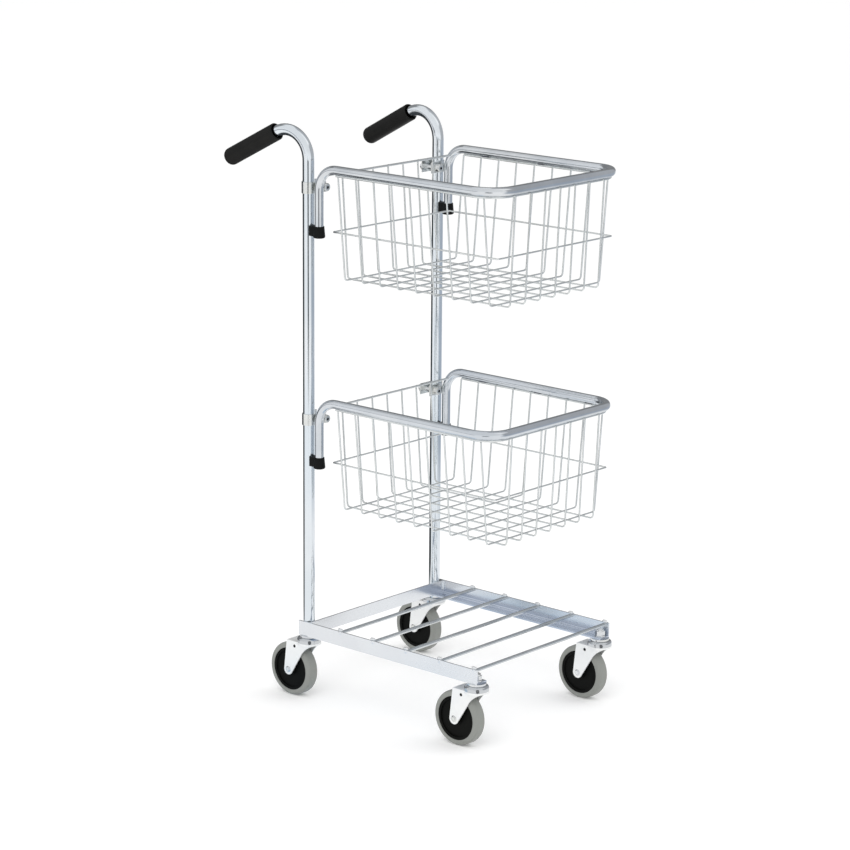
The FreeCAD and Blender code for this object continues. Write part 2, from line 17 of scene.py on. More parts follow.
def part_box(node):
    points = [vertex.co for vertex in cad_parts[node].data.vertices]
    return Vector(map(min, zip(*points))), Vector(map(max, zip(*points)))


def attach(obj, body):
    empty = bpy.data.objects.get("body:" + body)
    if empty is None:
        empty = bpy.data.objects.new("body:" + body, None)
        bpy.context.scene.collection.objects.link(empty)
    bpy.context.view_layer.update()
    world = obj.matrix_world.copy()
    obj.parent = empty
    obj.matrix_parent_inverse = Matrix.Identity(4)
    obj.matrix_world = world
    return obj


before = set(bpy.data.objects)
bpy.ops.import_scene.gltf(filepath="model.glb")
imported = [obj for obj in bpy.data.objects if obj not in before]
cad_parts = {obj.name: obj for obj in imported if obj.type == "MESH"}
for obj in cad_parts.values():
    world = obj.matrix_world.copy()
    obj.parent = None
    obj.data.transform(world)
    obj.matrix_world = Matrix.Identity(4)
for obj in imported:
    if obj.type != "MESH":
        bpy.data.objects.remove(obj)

log = logging.getLogger("trolley")

Colour = tuple[float, float, float, float]
Point = tuple[float, float, float]
Span = tuple[float, float]
Box = tuple[Vector, Vector]
Socket = bpy.types.NodeSocket
Sockets = Mapping[str, Socket]
Node = bpy.types.Node
Tree = bpy.types.NodeTree
Material = bpy.types.Material
Piece = bpy.types.Object

WHITE: Colour = (1.0, 1.0, 1.0, 1.0)
UNIT: Span = (0.0, 1.0)
RIGHTWARD: Point = (1.0, 0.0, 0.0)
REARWARD: Point = (0.0, 1.0, 0.0)
FORWARD: Point = (0.0, -1.0, 0.0)
UPWARD: Point = (0.0, 0.0, 1.0)
MIRROR_X = Matrix.Scale(-1.0, 4, Vector(RIGHTWARD))


class Level(Enum):
    """The two baskets."""

    UPPER = "upper"
    LOWER = "lower"


class End(Enum):
    """The two ends of the base."""

    FRONT = "front"
    REAR = "rear"


class Side(Enum):
    """The two sides of the trolley, as seen from its front."""

    LEFT = "left"
    RIGHT = "right"


class Slot(Enum):
    """The finishes, by the names of the record's material slots."""

    RAIL = "rail_zinc"
    ROD = "rod_zinc"
    POST = "post_zinc"
    RIM = "rim_zinc"
    WIRE = "wire_zinc"
    STRAP = "strap_zinc"
    FORK = "fork_zinc"
    FASTENER = "fastener_zinc"
    GRIP = "grip_rubber"
    CAP = "cap_rubber"
    WHEEL = "wheel_plastic"
    TYRE = "tyre_rubber"


class Variant(Enum):
    """How a finish departs from the plain one of its slot."""

    PLAIN = ""
    # a lighter copy for welds, partly a painted highlight
    BRIGHT = "_bright"
    # a darker copy that paints shade into joints, gaps and hollows
    PAINTED_SHADE = "_burnt"
    # painted shade towards the inner corner of an angle rail, with a painted highlight on its crease
    PAINTED_CORNER_SHADE = "_gathered"


class Effect(Enum):
    """The shared surface effects, each one shader node group."""

    CLOUDS = "plating_clouds"
    LINES = "drawn_lines"
    MARKS = "handling_marks"
    PEBBLE = "moulded_pebble"
    DUST = "floor_dust"


class Pick(Enum):
    """What is selected on the bench."""

    POINTS = "VERT"
    FACES = "FACE"


class NodeSheet:
    """Short hand for laying out one shader node tree."""

    MIX_SHARE, MIX_FIRST, MIX_SECOND, MIX_RESULT = 0, 6, 7, 2

    def __init__(self, tree: Tree) -> None:
        """Keep the tree of a material, group or world that is drawn on."""
        self.tree = tree

    def link(self, source: Socket, target: Socket) -> None:
        """Join an output to an input."""
        self.tree.links.new(source, target)

    def add(self, kind: str, inputs: dict | None = None, **settings: object) -> Node:
        """Add a node.

        Args:
            kind: The node's type name.
            inputs: Sockets or values for its inputs, by name or number.
            settings: Values for its own properties.

        Returns:
            The new node.
        """
        node = self.tree.nodes.new(kind)
        for name, value in settings.items():
            setattr(node, name, value)
        for name, value in (inputs or {}).items():
            if isinstance(value, Socket):
                self.link(value, node.inputs[name])
            else:
                node.inputs[name].default_value = value
        return node

    def math(self, operation: str, *values: object) -> Socket:
        """Work out a sum of sockets or numbers."""
        return self.add("ShaderNodeMath", dict(enumerate(values)), operation=operation).outputs[0]

    def vector(self, operation: str, *values: object) -> Sockets:
        """Work out a sum of vector sockets or vectors."""
        return self.add("ShaderNodeVectorMath", dict(enumerate(values)), operation=operation).outputs

    def split(self, place: Socket) -> tuple[Socket, ...]:
        """Give the X, Y and Z of a place."""
        return tuple(self.add("ShaderNodeSeparateXYZ", {0: place}).outputs)

    def spread(self, value: Socket, span: Span, onto: Span = UNIT) -> Socket:
        """Map a value from one span onto another, with smooth ends.

        Args:
            value: The socket to map.
            span: The span that is read.
            onto: The span that is given out.

        Returns:
            The result socket.
        """
        names = ("Value", "From Min", "From Max", "To Min", "To Max")
        inputs = dict(zip(names, (value, *span, *onto)))
        return self.add("ShaderNodeMapRange", inputs, interpolation_type="SMOOTHSTEP").outputs["Result"]

    def blend(self, share: Socket, first: object, second: object) -> Socket:
        """Mix two colours.

        Args:
            share: The share of the second colour.
            first: A colour or a colour socket.
            second: A colour or a colour socket.

        Returns:
            The mixed colour socket.
        """
        inputs = {self.MIX_SHARE: share, self.MIX_FIRST: first, self.MIX_SECOND: second}
        return self.add("ShaderNodeMix", inputs, data_type="RGBA").outputs[self.MIX_RESULT]

    def noise(self, place: Socket, scale: object, detail: float, roughness: float = 0.5) -> Socket:
        """Add a noise pattern.

        Args:
            place: The coordinate socket.
            scale: A number or a socket.
            detail: The noise's detail.
            roughness: The noise's roughness.

        Returns:
            The pattern's value socket.
        """
        inputs = {"Vector": place, "Scale": scale, "Detail": detail, "Roughness": roughness}
        return self.add("ShaderNodeTexNoise", inputs).outputs["Fac"]

    def bump(self, height: Socket, strength: float, depth: float) -> Socket:
        """Give the normals of a height pattern."""
        inputs = {"Height": height, "Strength": strength, "Distance": depth}
        return self.add("ShaderNodeBump", inputs).outputs["Normal"]


class SurfaceEffects:
    """The shared shader node groups."""

    def __init__(self) -> None:
        """Build every group once."""
        makers: dict[Effect, Callable[[], Tree]] = {
            Effect.CLOUDS: self.plating_clouds,
            Effect.LINES: self.drawn_lines,
            Effect.MARKS: self.handling_marks,
            Effect.PEBBLE: self.moulded_pebble,
            Effect.DUST: self.floor_dust,
        }
        self.groups = {effect: maker() for effect, maker in makers.items()}

    def start(
        self, effect: Effect, inputs: Iterable[str], outputs: Iterable[str]
    ) -> tuple[NodeSheet, Sockets, Sockets]:
        """Begin a group with a Vector input, value inputs and value outputs.

        Args:
            effect: The effect that the group gives.
            inputs: Names of the value inputs.
            outputs: Names of the value outputs.

        Returns:
            The sheet, what the group is given and what it gives.
        """
        tree = bpy.data.node_groups.new(effect.value, "ShaderNodeTree")
        tree.interface.new_socket("Vector", in_out="INPUT", socket_type="NodeSocketVector")
        for way, names in (("INPUT", inputs), ("OUTPUT", outputs)):
            for name in names:
                tree.interface.new_socket(name, in_out=way, socket_type="NodeSocketFloat")
        sheet = NodeSheet(tree)
        return sheet, sheet.add("NodeGroupInput").outputs, sheet.add("NodeGroupOutput").inputs

    def plating_clouds(self) -> Tree:
        """Soft clouds of the zinc bath, and slower patches where the passivation changes hue.

        Returns:
            The group.
        """
        sheet, given, result = self.start(Effect.CLOUDS, ["Size"], ["Cloud", "Hue"])
        cloud = sheet.noise(given["Vector"], given["Size"], detail=5.0, roughness=0.6)
        sheet.link(sheet.spread(cloud, (0.3, 0.7)), result["Cloud"])
        slower = sheet.math("MULTIPLY", given["Size"], 0.37)
        hue = sheet.noise(given["Vector"], slower, detail=2.0)
        sheet.link(sheet.spread(hue, (0.36, 0.64)), result["Hue"])
        return sheet.tree

    def drawn_lines(self) -> Tree:
        """Fine lines left by drawing or polishing; the given place is already stretched along them.

        Returns:
            The group.
        """
        sheet, given, result = self.start(Effect.LINES, ["Size"], ["Line"])
        line = sheet.noise(given["Vector"], given["Size"], detail=3.0, roughness=0.65)
        sheet.link(sheet.spread(line, (0.25, 0.75)), result["Line"])
        return sheet.tree

    def handling_marks(self) -> Tree:
        """Sparse dull marks from handling: thin scratches inside a few rubbed patches.

        Returns:
            The group.
        """
        sheet, given, result = self.start(Effect.MARKS, ["Size", "Amount"], ["Mark"])
        patch = sheet.noise(given["Vector"], given["Size"], detail=3.0)
        rubbed = sheet.spread(patch, (0.56, 0.72))
        finer = sheet.math("MULTIPLY", given["Size"], 9.0)
        inputs = {"Vector": given["Vector"], "Scale": finer}
        cells = sheet.add("ShaderNodeTexVoronoi", inputs, feature="DISTANCE_TO_EDGE")
        scratch = sheet.spread(cells.outputs["Distance"], (0.0, 0.05), (1.0, 0.0))
        both = sheet.math("MULTIPLY", rubbed, sheet.math("MULTIPLY_ADD", scratch, 0.6, 0.4))
        sheet.link(sheet.math("MULTIPLY", both, given["Amount"]), result["Mark"])
        return sheet.tree

    def moulded_pebble(self) -> Tree:
        """The fine pebble of a moulded surface, and sparse paler specks on it.

        Returns:
            The group.
        """
        sheet, given, result = self.start(Effect.PEBBLE, ["Size"], ["Height", "Speck"])
        inputs = {"Vector": given["Vector"], "Scale": given["Size"]}
        cells = sheet.add("ShaderNodeTexVoronoi", inputs, feature="SMOOTH_F1")
        sheet.link(sheet.spread(cells.outputs["Distance"], (0.0, 0.7), (1.0, 0.0)), result["Height"])
        coarser = sheet.math("MULTIPLY", given["Size"], 0.45)
        speck = sheet.noise(given["Vector"], coarser, detail=4.0, roughness=0.7)
        sheet.link(sheet.spread(speck, (0.5, 0.78)), result["Speck"])
        return sheet.tree

    def floor_dust(self) -> Tree:
        """Patchy dust that a surface near the floor picks up.

        Returns:
            The group.
        """
        sheet, given, result = self.start(Effect.DUST, ["Size", "Amount"], ["Dust"])
        broad = sheet.noise(given["Vector"], given["Size"], detail=2.0)
        finer = sheet.math("MULTIPLY", given["Size"], 14.0)
        fine = sheet.noise(given["Vector"], finer, detail=4.0)
        grain = sheet.math("MULTIPLY", sheet.spread(broad, (0.35, 0.7)), fine)
        sheet.link(sheet.math("MULTIPLY", grain, given["Amount"]), result["Dust"])
        return sheet.tree

    def place(self, sheet: NodeSheet, effect: Effect, vector: Socket, **values: float) -> Sockets:
        """Place an effect in a material.

        Args:
            sheet: The material's sheet.
            effect: The effect to place.
            vector: The coordinates it reads.
            values: Its value inputs, by name.

        Returns:
            What the effect gives.
        """
        inputs = {"Vector": vector, **values}
        return sheet.add("ShaderNodeGroup", inputs, node_tree=self.groups[effect]).outputs


def open_material(name: str) -> tuple[Material, NodeSheet, Node]:
    """Start a node material.

    Args:
        name: Its name.

    Returns:
        The material, its sheet and its Principled shader.
    """
    made = bpy.data.materials.new(name)
    made.use_nodes = True
    return made, NodeSheet(made.node_tree), made.node_tree.nodes["Principled BSDF"]


ALL_ROUND: Point = (1.0, 1.0, 1.0)
ALONG_X: Point = (0.04, 1.0, 1.0)
ALONG_Y: Point = (1.0, 0.04, 1.0)
ALONG_Z: Point = (1.0, 1.0, 0.03)
MARK_GREY: Colour = (0.5, 0.51, 0.52, 1.0)
DUST_GREY: Colour = (0.42, 0.4, 0.37, 1.0)
POLISHED_STEEL: Colour = (0.60, 0.62, 0.64, 1.0)
# Painted shade for the inner corner of the angle rails: the blue-grey stands in for the shade and dim
# reflections there, and the pale line is a painted highlight on the crease.
PAINTED_SHADE_BLUE: Colour = (0.58, 0.63, 0.72, 1.0)
PAINTED_SHADE_EDGE = 0.0004
PAINTED_SHADE_REACH: Span = (0.1235, 0.143)
PAINTED_CREASE_HIGHLIGHT: Colour = (0.93, 0.95, 0.98, 1.0)
PAINTED_HIGHLIGHT_HEIGHT = 0.1267
PAINTED_HIGHLIGHT_REACH: Span = (0.0006, 0.0014)


@dataclass(frozen=True)
class ZincFinish:
    """Bright zinc plate with a clear blue passivation."""

    slot: Slot
    deep: Colour
    bright: Colour
    hue: Colour
    cloud_size: float
    roughness: Span
    line_stretch: Point = ALL_ROUND
    line_size: float = 900.0
    line_depth: float = 1e-5
    line_relief: float = 0.35
    line_share: float = 0.4
    cloud_share: float = 0.6
    uneven: Span = (0.1, 0.9)
    hue_share: float = 0.5
    marks: float = 0.3
    mark_size: float = 0.8
    mark_share: float = 0.5
    mark_dulling: float = 0.18
    variant: Variant = Variant.PLAIN
    metallic: float = 1.0
    polish_above: float | None = None
    polish_fade: float = 0.0012
    polish_gloss: float = 0.25
    painted_shade_inside: float | None = None

    def paint_corner_shade(self, sheet: NodeSheet, place: Socket, plate: Socket) -> Socket:
        """Paint shade into the plate towards the inner corner of an angle rail, and a painted highlight along
        the crease there.

        Args:
            sheet: The sheet that is drawn on.
            place: The place on the piece.
            plate: The plate's colour so far.

        Returns:
            The colour socket.
        """
        across, _, height = sheet.split(place)
        edge = (self.painted_shade_inside, self.painted_shade_inside + PAINTED_SHADE_EDGE)
        beyond = sheet.spread(sheet.math("ABSOLUTE", across), edge)
        above = sheet.spread(height, PAINTED_SHADE_REACH)
        plate = sheet.blend(sheet.math("MAXIMUM", beyond, above), PAINTED_SHADE_BLUE, plate)
        off = sheet.math("ABSOLUTE", sheet.math("SUBTRACT", height, PAINTED_HIGHLIGHT_HEIGHT))
        clear = sheet.math("MAXIMUM", beyond, sheet.spread(off, PAINTED_HIGHLIGHT_REACH))
        return sheet.blend(clear, PAINTED_CREASE_HIGHLIGHT, plate)

    def material(self, effects: SurfaceEffects) -> Material:
        """Make the material.

        Args:
            effects: The shared groups.

        Returns:
            The new material.
        """
        made, sheet, metal = open_material(self.slot.value + self.variant.value)
        metal.inputs["Metallic"].default_value = self.metallic
        place = sheet.add("ShaderNodeTexCoord").outputs["Object"]
        stretch = sheet.add("ShaderNodeMapping", {"Vector": place, "Scale": self.line_stretch})
        clouds = effects.place(sheet, Effect.CLOUDS, place, Size=self.cloud_size)
        mark_size = self.cloud_size * self.mark_size
        mark = effects.place(sheet, Effect.MARKS, place, Size=mark_size, Amount=self.marks)["Mark"]
        line = effects.place(sheet, Effect.LINES, stretch.outputs["Vector"], Size=self.line_size)["Line"]
        plate = sheet.blend(clouds["Cloud"], self.deep, self.bright)
        plate = sheet.blend(sheet.math("MULTIPLY", clouds["Hue"], self.hue_share), plate, self.hue)
        plate = sheet.blend(sheet.math("MULTIPLY", mark, self.mark_share), plate, MARK_GREY)
        fine = sheet.math("MULTIPLY", line, self.line_share)
        uneven = sheet.math("MULTIPLY_ADD", clouds["Cloud"], self.cloud_share, fine)
        rough = sheet.spread(uneven, self.uneven, self.roughness)
        rough = sheet.math("MULTIPLY_ADD", mark, self.mark_dulling, rough)
        # painted shade in the rail's inner corner, with a painted highlight on its crease
        if self.painted_shade_inside is not None:
            plate = self.paint_corner_shade(sheet, place, plate)
        if self.polish_above is not None:
            edge = (self.polish_above, self.polish_above + self.polish_fade)
            polished = sheet.spread(sheet.split(place)[2], edge)
            plate = sheet.blend(polished, plate, POLISHED_STEEL)
            rough = sheet.math("MULTIPLY", rough, sheet.spread(polished, UNIT, (1.0, self.polish_gloss)))
            sheet.link(sheet.spread(polished, UNIT, (self.metallic, 1.0)), metal.inputs["Metallic"])
        sheet.link(plate, metal.inputs["Base Color"])
        sheet.link(rough, metal.inputs["Roughness"])
        sheet.link(sheet.bump(line, self.line_relief, self.line_depth), metal.inputs["Normal"])
        return made


@dataclass(frozen=True)
class MouldedFinish:
    """Moulded rubber or plastic: a fine pebble, paler rubbed specks and a little dust."""

    slot: Slot
    colour: Colour
    rubbed: Colour
    roughness: Span
    pebble_size: float
    pebble_depth: float
    dust: float
    gloss: float
    pebble_relief: float = 0.4
    speck_share: float = 0.7
    dust_size: float = 40.0
    dust_dulling: float = 0.3
    variant: Variant = Variant.PLAIN

    def material(self, effects: SurfaceEffects) -> Material:
        """Make the material.

        Args:
            effects: The shared groups.

        Returns:
            The new material.
        """
        made, sheet, skin = open_material(self.slot.value + self.variant.value)
        skin.inputs["Specular IOR Level"].default_value = self.gloss
        place = sheet.add("ShaderNodeTexCoord").outputs["Object"]
        pebble = effects.place(sheet, Effect.PEBBLE, place, Size=self.pebble_size)
        dust = effects.place(sheet, Effect.DUST, place, Size=self.dust_size, Amount=self.dust)["Dust"]
        speck = sheet.math("MULTIPLY", pebble["Speck"], self.speck_share)
        body = sheet.blend(speck, self.colour, self.rubbed)
        body = sheet.blend(dust, body, DUST_GREY)
        rough = sheet.spread(pebble["Speck"], UNIT, self.roughness)
        rough = sheet.math("ADD", rough, sheet.math("MULTIPLY", dust, self.dust_dulling))
        sheet.link(body, skin.inputs["Base Color"])
        sheet.link(rough, skin.inputs["Roughness"])
        sheet.link(sheet.bump(pebble["Height"], self.pebble_relief, self.pebble_depth), skin.inputs["Normal"])
        return made


WELD_GRAIN = 6e-5
RAIL_FINISH = ZincFinish(
    Slot.RAIL, deep=(0.76, 0.78, 0.81, 1), bright=(0.84, 0.86, 0.88, 1), hue=(0.72, 0.77, 0.84, 1),
    cloud_size=6.0, roughness=(0.2, 0.3), line_stretch=ALONG_Y,
)
FINISHES = (
    RAIL_FINISH,
    # the rails' copy with painted shade on their inner faces
    replace(RAIL_FINISH, variant=Variant.PAINTED_CORNER_SHADE, roughness=(0.18, 0.28), painted_shade_inside=0.1845),
    ZincFinish(
        Slot.ROD, deep=(0.60, 0.63, 0.65, 1), bright=(0.74, 0.76, 0.77, 1), hue=(0.58, 0.64, 0.68, 1),
        cloud_size=14.0, roughness=(0.14, 0.24), line_stretch=ALONG_X, line_size=1200.0, marks=0.4,
    ),
    ZincFinish(
        Slot.POST, deep=(0.75, 0.80, 0.84, 1), bright=(0.86, 0.89, 0.92, 1), hue=(0.70, 0.79, 0.87, 1),
        cloud_size=5.0, roughness=(0.08, 0.16), line_stretch=ALONG_Z, line_size=1100.0, line_depth=6e-6,
    ),
    ZincFinish(
        Slot.RIM, deep=(0.62, 0.65, 0.68, 1), bright=(0.78, 0.80, 0.82, 1), hue=(0.64, 0.69, 0.76, 1),
        cloud_size=11.0, roughness=(0.06, 0.14), line_size=1400.0, line_depth=4e-6,
    ),
    ZincFinish(
        Slot.WIRE, deep=(0.70, 0.72, 0.715, 1), bright=(0.86, 0.88, 0.875, 1), hue=(0.74, 0.77, 0.775, 1),
        cloud_size=20.0, roughness=(0.14, 0.26), line_size=1600.0, line_depth=6e-6, marks=0.4,
    ),
    ZincFinish(
        Slot.STRAP, deep=(0.74, 0.76, 0.76, 1), bright=(0.86, 0.87, 0.86, 1), hue=(0.78, 0.78, 0.72, 1),
        cloud_size=25.0, roughness=(0.18, 0.3), line_size=1200.0, marks=0.5,
    ),
    ZincFinish(
        Slot.FORK, deep=(0.90, 0.91, 0.90, 1), bright=(0.96, 0.965, 0.955, 1), hue=(0.90, 0.92, 0.94, 1),
        cloud_size=22.0, roughness=(0.34, 0.46), line_size=1000.0, line_depth=1.5e-5, marks=0.35,
        polish_above=0.1073, metallic=0.6,
    ),
    ZincFinish(
        Slot.FASTENER, deep=(0.62, 0.64, 0.67, 1), bright=(0.80, 0.82, 0.83, 1), hue=(0.72, 0.72, 0.66, 1),
        cloud_size=40.0, roughness=(0.1, 0.2), line_size=1500.0, marks=0.5,
    ),
    # Lighter copies for the weld lumps and bar beads: paler weld metal, and partly a painted highlight.
    ZincFinish(
        Slot.ROD, deep=(0.84, 0.86, 0.87, 1), bright=(0.96, 0.96, 0.96, 1), hue=(0.86, 0.88, 0.9, 1),
        cloud_size=120.0, roughness=(0.2, 0.34), line_depth=WELD_GRAIN, variant=Variant.BRIGHT,
    ),
    ZincFinish(
        Slot.RAIL, deep=(0.80, 0.83, 0.86, 1), bright=(0.93, 0.94, 0.95, 1), hue=(0.8, 0.84, 0.9, 1),
        cloud_size=90.0, roughness=(0.2, 0.34), line_depth=WELD_GRAIN, variant=Variant.BRIGHT,
    ),
    # Darker copies that paint shade: on the post foot welds, the rim welds, and the linings of the bolt
    # sockets, fork holes and cup notches.
    ZincFinish(
        Slot.RAIL, deep=(0.20, 0.21, 0.23, 1), bright=(0.42, 0.44, 0.47, 1), hue=(0.28, 0.30, 0.36, 1),
        cloud_size=90.0, roughness=(0.3, 0.5), line_depth=WELD_GRAIN, variant=Variant.PAINTED_SHADE,
    ),
    ZincFinish(
        Slot.RIM, deep=(0.06, 0.063, 0.07, 1), bright=(0.26, 0.27, 0.3, 1), hue=(0.12, 0.13, 0.18, 1),
        cloud_size=110.0, roughness=(0.35, 0.55), line_depth=WELD_GRAIN, variant=Variant.PAINTED_SHADE,
    ),
    ZincFinish(
        Slot.FASTENER, deep=(0.02, 0.021, 0.022, 1), bright=(0.07, 0.07, 0.072, 1),
        hue=(0.04, 0.04, 0.045, 1), cloud_size=200.0, roughness=(0.5, 0.7), line_size=1500.0,
        variant=Variant.PAINTED_SHADE,
    ),
    ZincFinish(
        Slot.FORK, deep=(0.10, 0.105, 0.11, 1), bright=(0.26, 0.27, 0.28, 1), hue=(0.15, 0.16, 0.17, 1),
        cloud_size=40.0, roughness=(0.4, 0.5), line_size=1500.0, marks=0.2, variant=Variant.PAINTED_SHADE,
    ),
    MouldedFinish(
        Slot.GRIP, colour=(0.0075, 0.0075, 0.007, 1), rubbed=(0.017, 0.017, 0.016, 1),
        roughness=(0.46, 0.62), pebble_size=1500.0, pebble_depth=8e-5, dust=0.01, gloss=0.16,
    ),
    MouldedFinish(
        Slot.CAP, colour=(0.0055, 0.006, 0.0058, 1), rubbed=(0.011, 0.0115, 0.011, 1),
        roughness=(0.4, 0.55), pebble_size=1800.0, pebble_depth=5e-5, dust=0.006, gloss=0.1,
    ),
    MouldedFinish(
        Slot.WHEEL, colour=(0.0045, 0.005, 0.0045, 1), rubbed=(0.009, 0.009, 0.0085, 1),
        roughness=(0.55, 0.7), pebble_size=1300.0, pebble_depth=5e-5, dust=0.006, gloss=0.06,
    ),
    MouldedFinish(
        Slot.TYRE, colour=(0.27, 0.28, 0.262, 1), rubbed=(0.33, 0.34, 0.32, 1),
        roughness=(0.55, 0.7), pebble_size=1100.0, pebble_depth=6e-5, dust=0.08, gloss=0.3,
    ),
)


class FinishShelf:
    """Holds one material per slot and variant, and puts them on nodes and new pieces."""

    def __init__(self) -> None:
        """Make the shared effects and every material."""
        effects = SurfaceEffects()
        self.materials = {(finish.slot, finish.variant): finish.material(effects) for finish in FINISHES}

    def coat(self, piece: Piece, slot: Slot, variant: Variant = Variant.PLAIN) -> None:
        """Put a finish on a piece in place of what it has."""
        piece.data.materials.clear()
        piece.data.materials.append(self.materials[slot, variant])

    def dress(self, node: str, slot: Slot, variant: Variant = Variant.PLAIN) -> None:
        """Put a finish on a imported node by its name."""
        self.coat(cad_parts[node], slot, variant)
        log.info("finish %s on %s", slot.value, node)

    def hang(self, piece: Piece, body: str, slot: Slot, variant: Variant = Variant.PLAIN) -> None:
        """Finish a new piece and make it move with its body.

        Args:
            piece: The finished mesh object.
            body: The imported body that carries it.
            slot: The record's slot that its finish comes from.
            variant: How the finish departs from the plain one.
        """
        self.coat(piece, slot, variant)
        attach(piece, body)
        log.info("piece %s on %s", piece.name, body)


class Bench:
    """Models one small mesh at a time with Blender's own operators."""

    RIPPLE = 0.16
    TIP = 0.45
    SHOULDER = 0.86
    ARC_TIP = 0.5
    ARC_CATCH = 1.1
    NUGGET_EDGE = 0.4
    RIDGE = 0.42
    RIDGE_STEPS = 18
    FACING = 0.9
    SHARP = 35.0
    BEAD_SMOOTH = 60.0

    @staticmethod
    def clear() -> None:
        """Leave edit mode and deselect everything."""
        if bpy.context.object is not None and bpy.context.object.mode != "OBJECT":
            bpy.ops.object.mode_set(mode="OBJECT")
        bpy.ops.object.select_all(action="DESELECT")

    @staticmethod
    def open_mesh() -> None:
        """Put the place of the object in hand into its mesh, and open that with all of it selected."""
        bpy.ops.object.transform_apply(location=True, rotation=True, scale=True)
        bpy.ops.object.mode_set(mode="EDIT")
        bpy.ops.mesh.select_all(action="SELECT")

    @staticmethod
    def pick(what: Pick, wanted: Callable[[Vector], bool]) -> None:
        """Select points of the mesh in hand by their place, or faces by their normal.

        Args:
            what: Points or faces.
            wanted: Says for a place or a normal whether it is selected.
        """
        bpy.ops.mesh.select_mode(type=what.value)
        bpy.ops.mesh.select_all(action="DESELECT")
        mesh = bmesh.from_edit_mesh(bpy.context.object.data)
        if what is Pick.POINTS:
            for point in mesh.verts:
                point.select_set(wanted(point.co))
        else:
            for face in mesh.faces:
                face.select_set(wanted(face.normal))
        mesh.select_flush_mode()
        bmesh.update_edit_mesh(bpy.context.object.data)

    @staticmethod
    def close(name: str, smooth: float = 50.0) -> Piece:
        """Merge doubles, turn the faces outwards, leave edit mode and smooth the mesh in hand.

        Args:
            name: The object's name.
            smooth: The largest angle between smooth faces, in degrees.

        Returns:
            The object.
        """
        bpy.ops.mesh.select_all(action="SELECT")
        bpy.ops.mesh.remove_doubles(threshold=1e-6)
        bpy.ops.mesh.normals_make_consistent(inside=False)
        bpy.ops.object.mode_set(mode="OBJECT")
        bpy.ops.object.transform_apply(location=True, rotation=True, scale=True)
        bpy.ops.object.shade_smooth_by_angle(angle=math.radians(smooth))
        piece = bpy.context.object
        piece.name = name
        return piece

    def arc_bead(self, name: str, ring: float, bead: float, sweep: float, steps: int) -> Piece:
        """Model a rippled weld bead on an arc about Z that starts on +X.

        Args:
            name: The object's name.
            ring: Radius of the arc.
            bead: Radius of the bead.
            sweep: Length of the arc in degrees.
            steps: Rings along it, of which every second one is smaller.

        Returns:
            The bead, about the origin.
        """
        self.clear()
        bpy.ops.mesh.primitive_circle_add(
            vertices=8, radius=bead, fill_type="NGON", location=(ring, 0, 0), rotation=(math.pi / 2, 0, 0)
        )
        self.open_mesh()
        turn = math.radians(sweep)
        bpy.ops.mesh.spin(steps=steps, angle=turn, center=(0, 0, 0), axis=UPWARD)

        def station(point: Vector) -> float:
            """How many steps along the arc a point lies."""
            return (math.atan2(point.y, point.x) % (2 * math.pi)) / turn * steps

        self.pick(Pick.POINTS, lambda point: round(station(point)) % 2 == 1)
        bpy.ops.transform.shrink_fatten(value=-bead * self.RIPPLE)
        for angle in (0.0, turn):
            centre = Vector((ring * math.cos(angle), ring * math.sin(angle), 0))
            self.pick(Pick.POINTS, lambda point: (point - centre).length < bead * self.ARC_CATCH)
            bpy.ops.transform.resize(value=(self.ARC_TIP,) * 3, center_override=centre)
        return self.close(name)

    def straight_bead(
        self, name: str, length: float, bead: float, steps: int, ripple: float = RIPPLE
    ) -> Piece:
        """Model a weld bead along Z.

        Args:
            name: The object's name.
            length: Its length.
            bead: Its radius.
            steps: Rings along it.
            ripple: Share of the radius that every second ring is smaller.

        Returns:
            The bead, about the origin.
        """
        self.clear()
        radii = [bead * (1.0 - ripple * (index % 2)) for index in range(steps + 1)]
        radii[0] = radii[-1] = bead * self.TIP
        radii[1] = radii[-2] = bead * self.SHOULDER
        bpy.ops.mesh.primitive_circle_add(
            vertices=10, radius=radii[0], fill_type="NGON", location=(0, 0, -length / 2)
        )
        self.open_mesh()
        for index in range(steps):
            bpy.ops.mesh.extrude_region_move(TRANSFORM_OT_translate={"value": (0, 0, length / steps)})
            level = -length / 2 + length / steps * (index + 1)
            share = radii[index + 1] / radii[index]
            bpy.ops.transform.resize(value=(share, share, 1), center_override=(0, 0, level))
        return self.close(name, self.BEAD_SMOOTH)

    def spot_nugget(self, name: str, radius: float, height: float) -> Piece:
        """Model the squeezed metal of a spot weld as a small pillow along Z.

        Args:
            name: The object's name.
            radius: Its radius.
            height: Its height.

        Returns:
            The nugget, about the origin.
        """
        self.clear()
        bpy.ops.mesh.primitive_cylinder_add(vertices=8, radius=radius, depth=height)
        self.open_mesh()
        self.pick(Pick.FACES, lambda normal: abs(normal.z) > self.FACING)
        bpy.ops.mesh.bevel(offset=height * self.NUGGET_EDGE, segments=2, affect="EDGES")
        return self.close(name)

    def dish(self, name: str, radius: float, depth: float, wall: float, sides: int) -> Piece:
        """Model a shallow dish that opens towards +Z.

        Args:
            name: The object's name.
            radius: Its outer radius, at the corners.
            depth: Its outer height, more than its wall.
            wall: Its wall and floor.
            sides: The number of its sides.

        Returns:
            The dish, with its rim at the height of the origin.
        """
        self.clear()
        bpy.ops.mesh.primitive_cylinder_add(
            vertices=sides, radius=radius, depth=depth, location=(0, 0, -depth / 2)
        )
        self.open_mesh()
        self.pick(Pick.FACES, lambda normal: normal.z > self.FACING)
        bpy.ops.mesh.inset(thickness=wall)
        bpy.ops.mesh.extrude_region_move(TRANSFORM_OT_translate={"value": (0, 0, wall - depth)})
        return self.close(name, self.SHARP)

